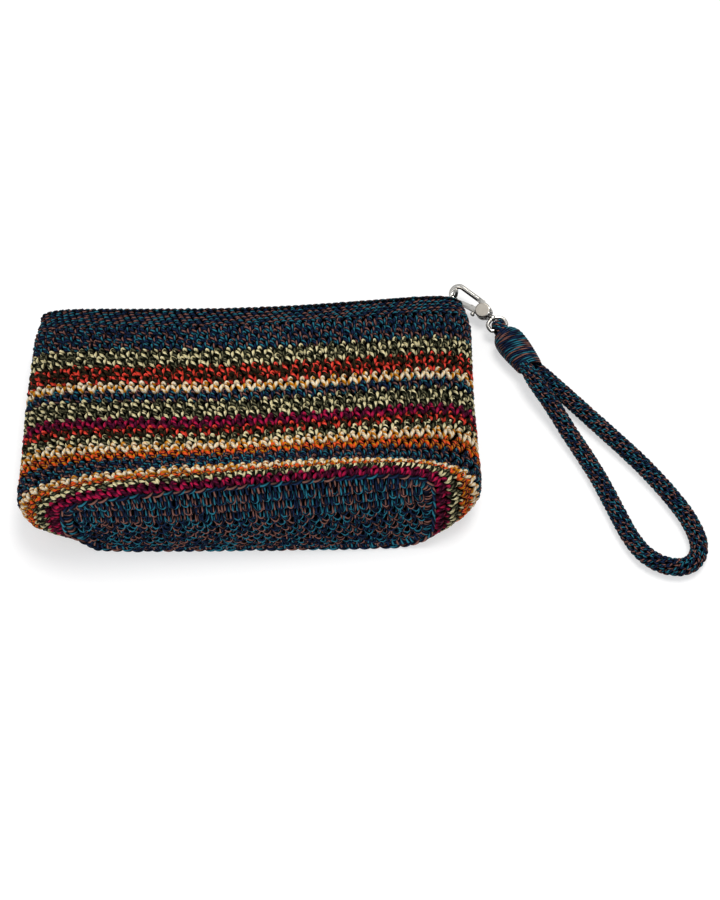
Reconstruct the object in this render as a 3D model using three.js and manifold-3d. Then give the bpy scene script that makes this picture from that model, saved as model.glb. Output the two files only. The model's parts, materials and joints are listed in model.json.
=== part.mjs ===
// Crochet wristlet: a striped zip pouch lying on its back, with a cord strap clipped to its mouth.
// Millimetres. X runs along the zip, Y from the base to the mouth, Z up from the back panel.
// The origin is the middle of the back panel, on the surface that the pouch lies on.
import * as THREE from 'three';
import { mergeVertices } from 'three/addons/utils/BufferGeometryUtils.js';
import Module from 'manifold-3d';

const wasm = await Module();
wasm.setup();

// Pouch
const BASE_LENGTH = 163;
const BASE_DEPTH = 44.1;
const BASE_BULGE = 4;
const POUCH_WIDTH = 206;
const MOUTH_WIDTH = 205;
const MOUTH_HEIGHT = 24;
const FRONT_HEIGHT = 29;
const WALL_LENGTH = 121;
const WALL_RUN = 0.97;
const WALL_THICKNESS = 3;
const CORNER_ROUND = 26;
const CORNER_RUN = 0.75;
const BASE_SQUARENESS = 5;
const MOUTH_SQUARENESS = 3.2;
const FACE_FALLOFF = 1.5;
const BACK_FLATNESS = 0.92;
const EDGE_LEAN = 8;
const EDGE_LEAN_TWIST = 5;
const LEAN_REACH = 60;
const BACK_TWIST = 2;
const EDGE_TILT = 0.9;
const FRONT_DROP_REACH = 42;
const EDGE_RIDGE = 2;
const EDGE_RIDGE_REACH = 12;
const EDGE_MITRE_REACH = 13;
const MOUTH_CURL_REACH = 18;
const RIM_ROWS = 2.6;
const ROUND_STEPS = 40;
const LINING_THICKNESS = 0.8;
const LINING_GAP = 0.5;
const STRIPE_GAP = 0.5;
const CLEARANCE = 0.3;

// Zip
const ZIP_INSET = 3.5;
const ZIP_END = 27.5;
const ZIP_SEAM = 1.5;
const TAPE_THICKNESS = 0.7;
const COIL_GAP = 1.6;
const COIL_WIDTH = 2.2;
const COIL_HEIGHT = 1.6;
const SLIDER_LENGTH = 11;
const SLIDER_WIDTH = 8.4;
const SLIDER_PLATE = 1.1;
const SLIDER_PARK = 1.5;
const SLIDER_POST_LENGTH = 4;
const BAIL_LENGTH = 5.4;
const BAIL_WIRE = 1;
const BAIL_WIDTH = 2;
const BAIL_OPENING = 1.8;
const PULL_LENGTH = 20;
const PULL_WIDTH = 6.4;
const PULL_THICKNESS = 0.9;
const PULL_BAR = 1;
const STOP_LENGTH = 2;
const STOP_WIDTH = 4.6;
const STOP_HEIGHT = 1.5;

// Ring and tab at the right end of the mouth
const TAB_THICKNESS = 2.4;
const TAB_ROOT_HEIGHT = 6.5;
const TAB_EYE_HEIGHT = 4;
const TAB_EYE_WALL = 1.1;
const TAB_INSET = 8.3;
const RING_RADIUS = 5;
const RING_WIRE = 1.6;

// Swivel snap
const HOOK_BACK = 2.35;
const HOOK_OUT = 14.1;
const CLASP_HEIGHT = 6.7;
const CLASP_ANGLE = -44.5;
const CLASP_ROLL = 22;
const HOOK_WIRE = 2.6;
const HOOK_BOW = 3.4;
const HOOK_BAR = 13;
const HOOK_NOSE = 1.2;
const BOSS_RADIUS = 3.75;
const BOSS_THICKNESS = 1.5;
const BOSS_BEVEL = 0.4;
const BOSS_DISTANCE = 15.8;
const GATE_THICKNESS = 2;
const GATE_ROOT = 1.5;
const GATE_TIP = 0.95;
const GATE_OFFSET = 0.6;
const PIN_RADIUS = 0.8;
const PIN_CLEARANCE = 0.1;
const NECK_LENGTH = 2.2;
const NECK_WIDTH = 5.6;
const NECK_WALL = 1.1;
const NECK_RECESS = 0.7;
const POST_RADIUS = 0.95;
const POST_HEAD_RADIUS = 1.7;
const POST_HEAD_LENGTH = 0.8;
const BALL_RADIUS = 1.6;
const STIRRUP_TILT = -19.5;
const STIRRUP_LENGTH = 6.4;
const STIRRUP_HALF_WIDTH = 4.4;
const STIRRUP_WIRE = 2;
// Half of the stirrup's bow, from the ball to the bar, as shares of its length and half width
const STIRRUP_BOW = [[0, 0.08], [0.12, 0.45], [0.36, 0.92], [0.78, 1], [1, 0.78]];

// Facets of round shapes
const MERGE_DISTANCE = 1e-4;
const WIRE_SIDES = 8;
const DISC_SIDES = 24;
const POST_SIDES = 16;
const EYE_SIDES = 20;
const BALL_ROWS = 8;
const BALL_SIDES = 12;
const GATE_ARC_STEPS = 10;
const RING_STEPS = 28;
const BOW_POINTS = 9;
const HOOK_STEPS = 26;
const STIRRUP_STEPS = 30;
const BASE_SHARES = [0.5, 1];

// Strap
const CORD_DIAMETER = 7.6;
const CORD_SIDES = 8;
const CORD_STEPS = 52;
const STRAP_ANGLE = -60.8;
const EYE_WIDTH = 5;
const EYE_WALL = 1.4;
const WRAP_LENGTH = 22.3;
const WRAP_RADIUS = 7.5;
const WRAP_START_RADIUS = 5.6;
const WRAP_END_RADIUS = 6.1;
const WRAP_FLATTEN = 0.87;
// Swell of the whipping between its ends, as shares of its radius and length
const WRAP_SWELL = [[0.93, 0.1], [1, 0.3], [0.94, 0.65]];
// Middle line of the strap's loop, from one leg to the other, measured from the mouth's right corner
const CORD_ROUTE = [
  [31.8, -27.9, 4.3], [34, -31.5, 4.2], [38.8, -37.5, 3.9], [44.7, -44.6, 3.85], [52.7, -54.3, 3.85],
  [60.7, -64, 3.85], [71.6, -77.4, 3.85], [80, -88.8, 3.85], [87, -99.8, 3.85], [92, -109.2, 3.85],
  [95.1, -118.2, 3.85], [95.6, -125.4, 3.85], [93.4, -130.9, 3.85], [89.2, -133.9, 3.85], [84, -134.5, 3.85],
  [77.3, -132.4, 3.85], [70.6, -127, 3.85], [65.3, -117.6, 3.85], [60.3, -103.8, 3.85], [55.6, -90.4, 3.85],
  [50.2, -77.8, 4], [43.9, -65.2, 5], [37.9, -53.2, 7], [32.5, -43.4, 8.6], [28.5, -35.8, 9.1], [26.3, -30.9, 9.1],
];

// Colours of the yarns and metals
const COLOURS = {
  navy: 0x1f2f45,
  green: 0x5c5a3a,
  red: 0x7a3524,
  cream: 0xd9b478,
  burgundy: 0x6b1530,
  orange: 0xb5531d,
  lining: 0x25304a,
  tape: 0x1b2233,
  coil: 0x20283a,
  nickel: 0xc9c6c0,
};

const METAL_ROUGHNESS = 0.3;
const YARN_ROUGHNESS = 0.9;

// Stripes from the base to the rim: yarn and number of rounds
const STRIPES = [
  ['burgundy', 1], ['green', 1], ['orange', 1], ['cream', 1], ['navy', 2], ['orange', 1], ['cream', 1], ['green', 1],
  ['red', 1], ['burgundy', 1], ['green', 2], ['navy', 1], ['cream', 1], ['red', 2], ['green', 2], ['navy', 3],
];
const STRIPE_ROWS = STRIPES.reduce((sum, [, rows]) => sum + rows, 0);
const ROW_HEIGHT = WALL_LENGTH / (STRIPE_ROWS + RIM_ROWS);
let stripeRows = 0;
const stripeEnds = STRIPES.map(([, rows]) => (stripeRows += rows) * ROW_HEIGHT);

// Derived places
const POUCH_LENGTH = WALL_LENGTH * WALL_RUN;
const MOUTH_Y = POUCH_LENGTH / 2;
const ZIP_Y = MOUTH_Y - ZIP_INSET;
const TAPE_TOP = ZIP_Y + TAPE_THICKNESS / 2;
const TAPE_DEPTH = WALL_THICKNESS + CLEARANCE;
const LINING_DEPTH = WALL_THICKNESS + LINING_GAP;

const { sin, cos, abs, sign, PI } = Math;
const clamp01 = (x) => Math.min(1, Math.max(0, x));
const smooth = (x) => clamp01(x) ** 2 * (3 - 2 * clamp01(x));
const radians = THREE.MathUtils.degToRad;

const part = new THREE.Group();

function addMesh(parent, name, geometry, colour, metalness = 0) {
  const roughness = metalness > 0 ? METAL_ROUGHNESS : YARN_ROUGHNESS;
  const mesh = new THREE.Mesh(geometry, new THREE.MeshStandardMaterial({ color: colour, roughness, metalness }));
  mesh.name = name;
  parent.add(mesh);
  return mesh;
}

function addGroup(parent, x, y, z) {
  const group = new THREE.Group();
  group.position.set(x, y, z);
  parent.add(group);
  return group;
}

// Solids for joining and cutting
function toSolid(geometry) {
  const plain = geometry.clone();
  plain.deleteAttribute('normal');
  plain.deleteAttribute('uv');
  const merged = mergeVertices(plain, MERGE_DISTANCE);
  const vertProperties = new Float32Array(merged.attributes.position.array);
  const triVerts = new Uint32Array(merged.index.array);
  return new wasm.Manifold(new wasm.Mesh({ numProp: 3, vertProperties, triVerts }));
}

function toGeometry(solid) {
  const { vertProperties, triVerts } = solid.getMesh();
  const geometry = new THREE.BufferGeometry();
  geometry.setAttribute('position', new THREE.BufferAttribute(vertProperties, 3));
  geometry.setIndex(new THREE.BufferAttribute(triVerts, 1));
  return geometry;
}

const join = (...geometries) => toGeometry(geometries.map(toSolid).reduce((a, b) => a.add(b)));

const cut = (geometry, ...tools) => toGeometry(tools.map(toSolid).reduce((a, b) => a.subtract(b), toSolid(geometry)));

// A box from its lowest to its highest corner
function boxBetween(low, high) {
  const size = high.map((value, axis) => value - low[axis]);
  const centre = high.map((value, axis) => (value + low[axis]) / 2);
  return new THREE.BoxGeometry(...size).translate(...centre);
}

// A closed skin over loops of points: the last loop joins the first, or centre points close both ends.
// The inner loops' quads are split the other way, so that nested skins stay parallel.
function skin(loops, startCentre, endCentre) {
  const count = loops[0].length;
  const points = loops.flat();
  const faces = [];
  const strips = startCentre ? loops.length - 1 : loops.length;
  for (let row = 0; row < strips; row += 1) {
    const next = (row + 1) % loops.length;
    for (let i = 0; i < count; i += 1) {
      const j = (i + 1) % count;
      const [a, b, c, d] = [row * count + i, row * count + j, next * count + j, next * count + i];
      faces.push(...(row < loops.length / 2 ? [a, c, b, a, d, c] : [a, d, b, b, d, c]));
    }
  }
  if (startCentre) {
    const start = points.push(startCentre) - 1;
    const end = points.push(endCentre) - 1;
    const last = (loops.length - 1) * count;
    for (let i = 0; i < count; i += 1) {
      const j = (i + 1) % count;
      faces.push(start, i, j, end, last + j, last + i);
    }
  }
  const geometry = new THREE.BufferGeometry();
  geometry.setAttribute('position', new THREE.Float32BufferAttribute(points.flat(), 3));
  geometry.setIndex(faces);
  return geometry;
}

// Pouch wall: the section is a superellipse that softens from the base to the mouth
function section(angle, reach) {
  const squareness = BASE_SQUARENESS + (MOUTH_SQUARENESS - BASE_SQUARENESS) * smooth(reach / CORNER_ROUND);
  const across = sign(cos(angle)) * abs(cos(angle)) ** (2 / squareness);
  const level = sign(sin(angle)) * abs(sin(angle)) ** (2 / squareness);
  const rise = Math.max(0, (level + BACK_FLATNESS) / (1 + BACK_FLATNESS));
  return { across, level, rise };
}

// A point of the wall at an angle round the pouch, a distance up from the base edge and a depth under the skin.
// The sides turn from the base plane into the side faces over the corner round, and the front sinks to the mouth.
function wallPoint(angle, reach, depth) {
  const { across, level, rise } = section(angle, reach);
  const turn = PI / 2 * clamp01(reach / CORNER_ROUND);
  const along = clamp01((reach - CORNER_ROUND) / (WALL_LENGTH - CORNER_ROUND));
  const halfWidth = BASE_LENGTH / 2 + (POUCH_WIDTH - BASE_LENGTH) / 2 * sin(turn) - (POUCH_WIDTH - MOUTH_WIDTH) / 2 * along;
  const cornerY = CORNER_ROUND * CORNER_RUN;
  const sideY = cornerY * (1 - cos(turn)) + (POUCH_LENGTH - cornerY) * along;
  const faceY = reach * WALL_RUN;
  const fade = 1 - smooth(reach / LEAN_REACH);
  const lean = (EDGE_LEAN + EDGE_LEAN_TWIST * across) * rise - BACK_TWIST * across * (1 - rise);
  const y = sideY + (faceY - sideY) * abs(level) ** FACE_FALLOFF + lean * fade - POUCH_LENGTH / 2;
  const edgeHeight = BASE_DEPTH + EDGE_TILT * across;
  const ridge = EDGE_RIDGE * sin(PI * clamp01(reach / EDGE_RIDGE_REACH));
  const curl = (FRONT_HEIGHT - MOUTH_HEIGHT) * smooth((reach - WALL_LENGTH + MOUTH_CURL_REACH) / MOUTH_CURL_REACH);
  const height = edgeHeight + (FRONT_HEIGHT - edgeHeight) * smooth(reach / FRONT_DROP_REACH) + ridge - curl;
  const inX = -depth * across * sin(turn);
  const flatness = abs(level) ** FACE_FALLOFF;
  const inY = depth * (cos(turn) * (1 - flatness) + clamp01(1 - reach / EDGE_MITRE_REACH) * flatness);
  const inZ = depth * (1 - 2 * rise);
  return [halfWidth * across + inX, y + inY, height * rise + inZ];
}

const roundAngles = Array.from({ length: ROUND_STEPS }, (_, i) => 2 * PI * i / ROUND_STEPS);
const wallLoop = (reach, depth) => roundAngles.map((angle) => wallPoint(angle, reach, depth));

// A loop of the base panel: a share of the way out from the middle, with the bulge fading to the edge
const baseCentre = [0, EDGE_LEAN / 2 - POUCH_LENGTH / 2, BASE_DEPTH / 2];

function baseLoop(share, depth, inset) {
  return roundAngles.map((angle) => {
    const { across, level } = section(angle, 0);
    const edge = wallPoint(angle, 0, depth);
    const rim = [edge[0] - inset * across, edge[1] - depth, edge[2] - inset * level];
    const flat = rim.map((value, axis) => baseCentre[axis] + share * (value - baseCentre[axis]));
    return [flat[0], flat[1] + depth - BASE_BULGE * (1 - share ** 2), flat[2]];
  });
}

const baseMiddle = (depth) => [baseCentre[0], baseCentre[1] + depth - BASE_BULGE, baseCentre[2]];

function makeBase(outerDepth, innerDepth) {
  const outer = BASE_SHARES.map((share) => baseLoop(share, outerDepth, CLEARANCE));
  const inner = BASE_SHARES.map((share) => baseLoop(share, innerDepth, CLEARANCE)).reverse();
  return skin([...outer, ...inner], baseMiddle(outerDepth), baseMiddle(innerDepth));
}

function makeBand(from, to) {
  const inner = WALL_THICKNESS;
  return skin([wallLoop(from, 0), wallLoop(to, 0), wallLoop(to, inner), wallLoop(from, inner)]);
}

function makeLining() {
  const top = (TAPE_TOP - TAPE_THICKNESS - CLEARANCE + POUCH_LENGTH / 2) / WALL_RUN;
  const reaches = [...stripeEnds, top];
  const side = (depth) => [baseLoop(BASE_SHARES[0], depth, 0), wallLoop(0, depth), ...reaches.map((reach) => wallLoop(reach, depth))];
  const innerDepth = LINING_DEPTH + LINING_THICKNESS;
  return skin([...side(LINING_DEPTH), ...side(innerDepth).reverse()], baseMiddle(LINING_DEPTH), baseMiddle(innerDepth));
}

addMesh(part, 'crochet_base', makeBase(0, WALL_THICKNESS), COLOURS.navy);
STRIPES.forEach(([yarn], index) => {
  const start = index > 0 ? stripeEnds[index - 1] : 0;
  const name = `band_${String(index + 1).padStart(2, '0')}_${yarn}`;
  addMesh(part, name, makeBand(start + STRIPE_GAP / 2, stripeEnds[index] - STRIPE_GAP / 2), COLOURS[yarn]);
});
addMesh(part, 'rim_border', makeBand(stripeEnds.at(-1) + STRIPE_GAP / 2, WALL_LENGTH), COLOURS.navy);
addMesh(part, 'lining', makeLining(), COLOURS.lining);

// Zip: an oval tape sewn inside the mouth, its two free edges with their coils, the slider and its pull.
// Its outlines lie in the XZ plane and are extruded along Y.
const zipReach = (ZIP_Y + POUCH_LENGTH / 2) / WALL_RUN;
const tapeOutline = roundAngles.map((angle) => wallPoint(angle, zipReach, TAPE_DEPTH));

// Height of the tape's outline above a place on the zip, on its upper or lower run
function outlineHeight(x, upper) {
  const run = tapeOutline.filter((point, i) => (upper ? i <= ROUND_STEPS / 2 : i >= ROUND_STEPS / 2));
  const sorted = [...run].sort((a, b) => a[0] - b[0]);
  const next = sorted.findIndex((point) => point[0] > x);
  const [a, b] = [sorted[next - 1], sorted[next]];
  return a[2] + (b[2] - a[2]) * (x - a[0]) / (b[0] - a[0]);
}

const windowHalf = MOUTH_WIDTH / 2 - ZIP_END;
const windowTop = outlineHeight(windowHalf, true) - ZIP_SEAM;
const windowBottom = outlineHeight(windowHalf, false) + ZIP_SEAM;
const ZIP_Z = (windowTop + windowBottom) / 2;
const parkCentre = windowHalf + SLIDER_PARK + SLIDER_LENGTH / 2;
const slotEnd = parkCentre + SLIDER_POST_LENGTH / 2 + CLEARANCE;

// An outline of [x, z] points extruded from one Y to another
function plate(outline, holes, fromY, toY) {
  const shape = new THREE.Shape(outline.map(([x, z]) => new THREE.Vector2(x, -z)));
  shape.holes = holes.map((hole) => new THREE.Path(hole.map(([x, z]) => new THREE.Vector2(x, -z))));
  const geometry = new THREE.ExtrudeGeometry(shape, { depth: toY - fromY, bevelEnabled: false });
  return geometry.rotateX(-PI / 2).translate(0, fromY, 0);
}

const mirrored = (points) => [...points, ...points.map(([x, z]) => [-x, z]).reverse()];

function makeTape() {
  const outline = tapeOutline.map(([x, , z]) => [x, z]);
  const half = windowHalf + CLEARANCE;
  const slot = COIL_GAP / 2;
  const hole = mirrored([
    [half, windowTop], [half, ZIP_Z + slot], [slotEnd, ZIP_Z + slot],
    [slotEnd, ZIP_Z - slot], [half, ZIP_Z - slot], [half, windowBottom],
  ]);
  return plate(outline, [hole], ZIP_Y - TAPE_THICKNESS / 2, TAPE_TOP);
}

// One free edge of the tape and its coil, above or below the zip's middle line
function addZipEdge(name, side) {
  const inner = ZIP_Z + side * COIL_GAP / 2;
  const outer = side > 0 ? windowTop - CLEARANCE : windowBottom + CLEARANCE;
  const coilOuter = inner + side * COIL_WIDTH;
  const span = (a, b) => [Math.min(a, b), Math.max(a, b)];
  const [edgeLow, edgeHigh] = span(inner, outer);
  const [coilLow, coilHigh] = span(inner, coilOuter);
  const edge = boxBetween([-windowHalf, TAPE_TOP - TAPE_THICKNESS, edgeLow], [windowHalf, TAPE_TOP, edgeHigh]);
  const coilBase = TAPE_TOP + CLEARANCE;
  const coil = boxBetween([-windowHalf, coilBase, coilLow], [windowHalf, coilBase + COIL_HEIGHT, coilHigh]);
  addMesh(part, `zip_edge_${name}`, edge, COLOURS.tape);
  addMesh(part, `zip_coil_${name}`, coil, COLOURS.coil);
}

const sliderTop = TAPE_TOP + CLEARANCE + COIL_HEIGHT + CLEARANCE - ZIP_Y;

function makeSlider() {
  const half = SLIDER_LENGTH / 2;
  const wide = SLIDER_WIDTH / 2;
  const under = -TAPE_THICKNESS / 2 - CLEARANCE;
  const post = COIL_GAP / 2 - CLEARANCE;
  const lower = boxBetween([-half, under - SLIDER_PLATE, -wide], [half, under, wide]);
  const upper = boxBetween([-half, sliderTop, -wide], [half, sliderTop + SLIDER_PLATE, wide]);
  const postHalf = SLIDER_POST_LENGTH / 2;
  const web = boxBetween([-postHalf, under - SLIDER_PLATE / 2, -post], [postHalf, sliderTop + SLIDER_PLATE / 2, post]);
  const deck = sliderTop + SLIDER_PLATE;
  const bailHalf = BAIL_LENGTH / 2;
  const bail = boxBetween(
    [-bailHalf, deck - SLIDER_PLATE / 2, -BAIL_WIDTH / 2],
    [bailHalf, deck + BAIL_OPENING + BAIL_WIRE, BAIL_WIDTH / 2],
  );
  const eye = boxBetween([-bailHalf + BAIL_WIRE, deck, -BAIL_WIDTH], [bailHalf - BAIL_WIRE, deck + BAIL_OPENING, BAIL_WIDTH]);
  return join(lower, upper, web, cut(bail, eye));
}

function makePull() {
  const bar = PULL_BAR / 2;
  const wide = PULL_WIDTH / 2;
  const neck = BAIL_WIDTH / 2 + 2 * CLEARANCE;
  const bailCorner = Math.hypot(BAIL_LENGTH / 2, BAIL_OPENING / 2 + BAIL_WIRE) + CLEARANCE;
  const corner = PULL_BAR;
  const outline = [
    [-bar, -wide + corner], [0, -wide], [PULL_LENGTH - corner, -wide], [PULL_LENGTH, -wide + corner],
    [PULL_LENGTH, wide - corner], [PULL_LENGTH - corner, wide], [0, wide], [-bar, wide - corner],
  ];
  const hole = [[bar, -neck], [bar, neck], [bailCorner, neck], [bailCorner, -neck]];
  return plate(outline, [hole], -PULL_THICKNESS / 2, PULL_THICKNESS / 2);
}

addMesh(part, 'zip_tape', makeTape(), COLOURS.tape);
addZipEdge('front', 1);
addZipEdge('back', -1);
[['left', -1], ['right', 1]].forEach(([name, side]) => {
  const middle = side * (parkCentre + SLIDER_LENGTH / 2 + CLEARANCE + STOP_LENGTH / 2);
  const low = [middle - STOP_LENGTH / 2, TAPE_TOP + CLEARANCE, ZIP_Z - STOP_WIDTH / 2];
  const high = [middle + STOP_LENGTH / 2, TAPE_TOP + CLEARANCE + STOP_HEIGHT, ZIP_Z + STOP_WIDTH / 2];
  addMesh(part, `zip_stop_${name}`, boxBetween(low, high), COLOURS.nickel, 1);
});
// Closed, the slider stands at the end away from the strap and its pull lies out over the rim
const slider = addGroup(part, -parkCentre, ZIP_Y, ZIP_Z);
addMesh(slider, 'zip_slider', makeSlider(), COLOURS.nickel, 1);
const pull = addGroup(slider, 0, sliderTop + SLIDER_PLATE + BAIL_OPENING / 2, 0);
pull.rotation.z = PI;
addMesh(pull, 'zip_pull', makePull(), COLOURS.nickel, 1);

// Strap and snap, placed from the mouth's right corner
const corner = addGroup(part, MOUTH_WIDTH / 2, MOUTH_Y, 0);

// The ring stands on edge between the tab's eye and the hook's bow
const hookCentre = new THREE.Vector3(-HOOK_BACK, HOOK_OUT, CLASP_HEIGHT);
const claspAxis = new THREE.Vector3(1, 0, 0).applyAxisAngle(new THREE.Vector3(0, 0, 1), radians(CLASP_ANGLE));
const ringSeat = HOOK_BOW - HOOK_WIRE / 2 - RING_WIRE / 2 - CLEARANCE;
const ringFar = hookCentre.clone().addScaledVector(claspAxis, -ringSeat);
const ringNearX = -TAB_INSET;
const ringAngle = Math.asin((ringFar.x - ringNearX) / (2 * RING_RADIUS));
const ringDirection = new THREE.Vector3(-sin(ringAngle), -cos(ringAngle), 0);
const ringCentre = ringFar.clone().addScaledVector(ringDirection, RING_RADIUS);
const ringNear = ringFar.clone().addScaledVector(ringDirection, 2 * RING_RADIUS);

const anchorRing = addGroup(corner, ringCentre.x, ringCentre.y, ringCentre.z);
anchorRing.rotation.set(0, 0, -ringAngle);
const ringGeometry = new THREE.TorusGeometry(RING_RADIUS, RING_WIRE / 2, WIRE_SIDES, RING_STEPS).rotateY(PI / 2);
addMesh(anchorRing, 'anchor_ring', ringGeometry, COLOURS.nickel, 1);

// The tab rises from the zip's right end to an eye round the ring
function makeTab() {
  const eyeHalf = RING_WIRE / 2 + 2 * CLEARANCE;
  const sag = RING_RADIUS - Math.sqrt(RING_RADIUS ** 2 - (TAB_EYE_HEIGHT / 2 + CLEARANCE) ** 2);
  const rootY = TAPE_TOP + CLEARANCE - MOUTH_Y;
  const tipY = ringNear.y + eyeHalf + sag + TAB_EYE_WALL;
  const eyeY = ringNear.y - eyeHalf - TAB_EYE_WALL;
  const outline = [
    [rootY, ZIP_Z - TAB_ROOT_HEIGHT / 2], [eyeY, CLASP_HEIGHT - TAB_EYE_HEIGHT / 2], [tipY, CLASP_HEIGHT - TAB_EYE_HEIGHT / 2],
    [tipY, CLASP_HEIGHT + TAB_EYE_HEIGHT / 2], [eyeY, CLASP_HEIGHT + TAB_EYE_HEIGHT / 2], [rootY, ZIP_Z + TAB_ROOT_HEIGHT / 2],
  ];
  const shape = new THREE.Shape(outline.map(([y, z]) => new THREE.Vector2(y, z)));
  const body = new THREE.ExtrudeGeometry(shape, { depth: TAB_THICKNESS, bevelEnabled: false });
  body.rotateX(PI / 2).rotateZ(PI / 2).translate(ringNear.x - TAB_THICKNESS / 2, 0, 0);
  const wall = boxBetween(
    [ringNear.x - eyeHalf - TAB_EYE_WALL, eyeY, CLASP_HEIGHT - TAB_EYE_HEIGHT / 2],
    [ringNear.x + eyeHalf + TAB_EYE_WALL, tipY, CLASP_HEIGHT + TAB_EYE_HEIGHT / 2],
  );
  const hole = boxBetween(
    [ringNear.x - eyeHalf, ringNear.y - eyeHalf, CLASP_HEIGHT - TAB_EYE_HEIGHT],
    [ringNear.x + eyeHalf, ringNear.y + eyeHalf + sag, CLASP_HEIGHT + TAB_EYE_HEIGHT],
  );
  return cut(join(body, wall), hole);
}
addMesh(corner, 'ring_tab', makeTab(), COLOURS.navy);

// Snap: local X runs from the hook's bow to the stirrup, local Y from the gate to the bar
const clasp = addGroup(corner, hookCentre.x, hookCentre.y, hookCentre.z);
clasp.rotation.set(radians(CLASP_ROLL), 0, radians(CLASP_ANGLE), 'ZYX');

const circle = (radius, sides) => {
  const shape = new THREE.Shape();
  for (let i = 0; i < sides; i += 1) {
    const point = [radius * cos(2 * PI * i / sides), radius * sin(2 * PI * i / sides)];
    if (i === 0) shape.moveTo(...point);
    else shape.lineTo(...point);
  }
  return shape;
};

function tube(points, radius, sides, steps) {
  const path = new THREE.CatmullRomCurve3(points.map((point) => new THREE.Vector3(...point)));
  return new THREE.ExtrudeGeometry(circle(radius, sides), { steps, extrudePath: path });
}

const arcPoints = (radius, from, to, count) => Array.from({ length: count }, (_, i) => {
  const angle = from + (to - from) * i / (count - 1);
  return [radius * cos(angle), radius * sin(angle), 0];
});

// A disc lying in the snap's plane, from one height to another
const disc = (radius, x, y, low, high) => {
  const geometry = new THREE.CylinderGeometry(radius, radius, high - low, DISC_SIDES);
  return geometry.rotateX(PI / 2).translate(x, y, (low + high) / 2);
};

const slotHalf = GATE_THICKNESS / 2 + CLEARANCE;
const bossTop = slotHalf + BOSS_THICKNESS;
const neckStart = BOSS_DISTANCE + GATE_ROOT + CLEARANCE;
const neckEnd = neckStart + NECK_LENGTH;
const pinPlace = [BOSS_DISTANCE, -GATE_OFFSET];

function makeHook() {
  const bow = arcPoints(HOOK_BOW, PI / 2, PI * 3 / 2, BOW_POINTS);
  const wire = tube(
    [[HOOK_BAR, HOOK_BOW, 0], [HOOK_BAR / 2, HOOK_BOW, 0], [HOOK_NOSE, HOOK_BOW, 0], ...bow, [HOOK_NOSE, -HOOK_BOW, 0]],
    HOOK_WIRE / 2, WIRE_SIDES, HOOK_STEPS,
  );
  const profile = [
    [0, slotHalf], [BOSS_RADIUS, slotHalf], [BOSS_RADIUS, bossTop - BOSS_BEVEL], [BOSS_RADIUS - BOSS_BEVEL, bossTop], [0, bossTop],
  ].map(([r, z]) => new THREE.Vector2(r, z));
  const upper = new THREE.LatheGeometry(profile, DISC_SIDES).rotateX(PI / 2).translate(BOSS_DISTANCE, 0, 0);
  const lower = upper.clone().rotateX(PI);
  const neckHalf = NECK_WIDTH / 2;
  const neck = boxBetween([neckStart, -neckHalf, -bossTop], [neckEnd, neckHalf, bossTop]);
  const shoulder = boxBetween([HOOK_BAR - HOOK_WIRE, HOOK_BOW - HOOK_WIRE / 2, -bossTop], [neckEnd - NECK_WALL, HOOK_BOW, bossTop]);
  const headHalf = POST_HEAD_RADIUS + CLEARANCE;
  const cavity = boxBetween([neckStart - NECK_RECESS, -headHalf, -headHalf], [neckEnd - NECK_WALL, headHalf, headHalf]);
  const postHole = new THREE.CylinderGeometry(POST_RADIUS + CLEARANCE, POST_RADIUS + CLEARANCE, 4 * NECK_WALL, POST_SIDES);
  postHole.rotateZ(PI / 2).translate(neckEnd, 0, 0);
  const pinHole = disc(PIN_RADIUS + PIN_CLEARANCE, ...pinPlace, -2 * bossTop, 2 * bossTop);
  return cut(join(wire, upper, lower, neck, shoulder), cavity, postHole, pinHole);
}

function makeGate() {
  const tipX = HOOK_NOSE + 2 * CLEARANCE;
  const [rootX, rootY] = pinPlace;
  const shape = new THREE.Shape();
  shape.moveTo(tipX, -HOOK_BOW + GATE_TIP);
  shape.lineTo(tipX, -HOOK_BOW - GATE_TIP);
  shape.lineTo(rootX - GATE_ROOT, rootY - GATE_ROOT - GATE_TIP);
  shape.absarc(rootX, rootY, GATE_ROOT, -PI / 2, PI / 2, false);
  const geometry = new THREE.ExtrudeGeometry(shape, { depth: GATE_THICKNESS, bevelEnabled: false, curveSegments: GATE_ARC_STEPS });
  geometry.translate(0, 0, -GATE_THICKNESS / 2);
  return cut(geometry, disc(PIN_RADIUS + PIN_CLEARANCE, rootX, rootY, -GATE_THICKNESS, GATE_THICKNESS));
}

function makeStirrup() {
  const headStart = neckEnd - NECK_WALL - CLEARANCE - POST_HEAD_LENGTH;
  const ballX = neckEnd + CLEARANCE + BALL_RADIUS;
  const along = (length, radius, from) => {
    const geometry = new THREE.CylinderGeometry(radius, radius, length, POST_SIDES);
    return geometry.rotateZ(PI / 2).translate(from + length / 2, 0, 0);
  };
  const head = along(POST_HEAD_LENGTH, POST_HEAD_RADIUS, headStart);
  const post = along(ballX - headStart, POST_RADIUS, headStart);
  const ball = new THREE.SphereGeometry(BALL_RADIUS, BALL_SIDES, BALL_ROWS).translate(ballX, 0, 0);
  const arm = STIRRUP_BOW.map(([x, y]) => [x * STIRRUP_LENGTH, y * STIRRUP_HALF_WIDTH, 0]);
  const bow = tube(
    [...arm, [STIRRUP_LENGTH, 0, 0], ...arm.map(([x, y]) => [x, -y, 0]).reverse()],
    STIRRUP_WIRE / 2, WIRE_SIDES, STIRRUP_STEPS,
  );
  bow.rotateZ(radians(STIRRUP_TILT)).translate(ballX, 0, 0);
  return join(head, post, ball, bow);
}

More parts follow.
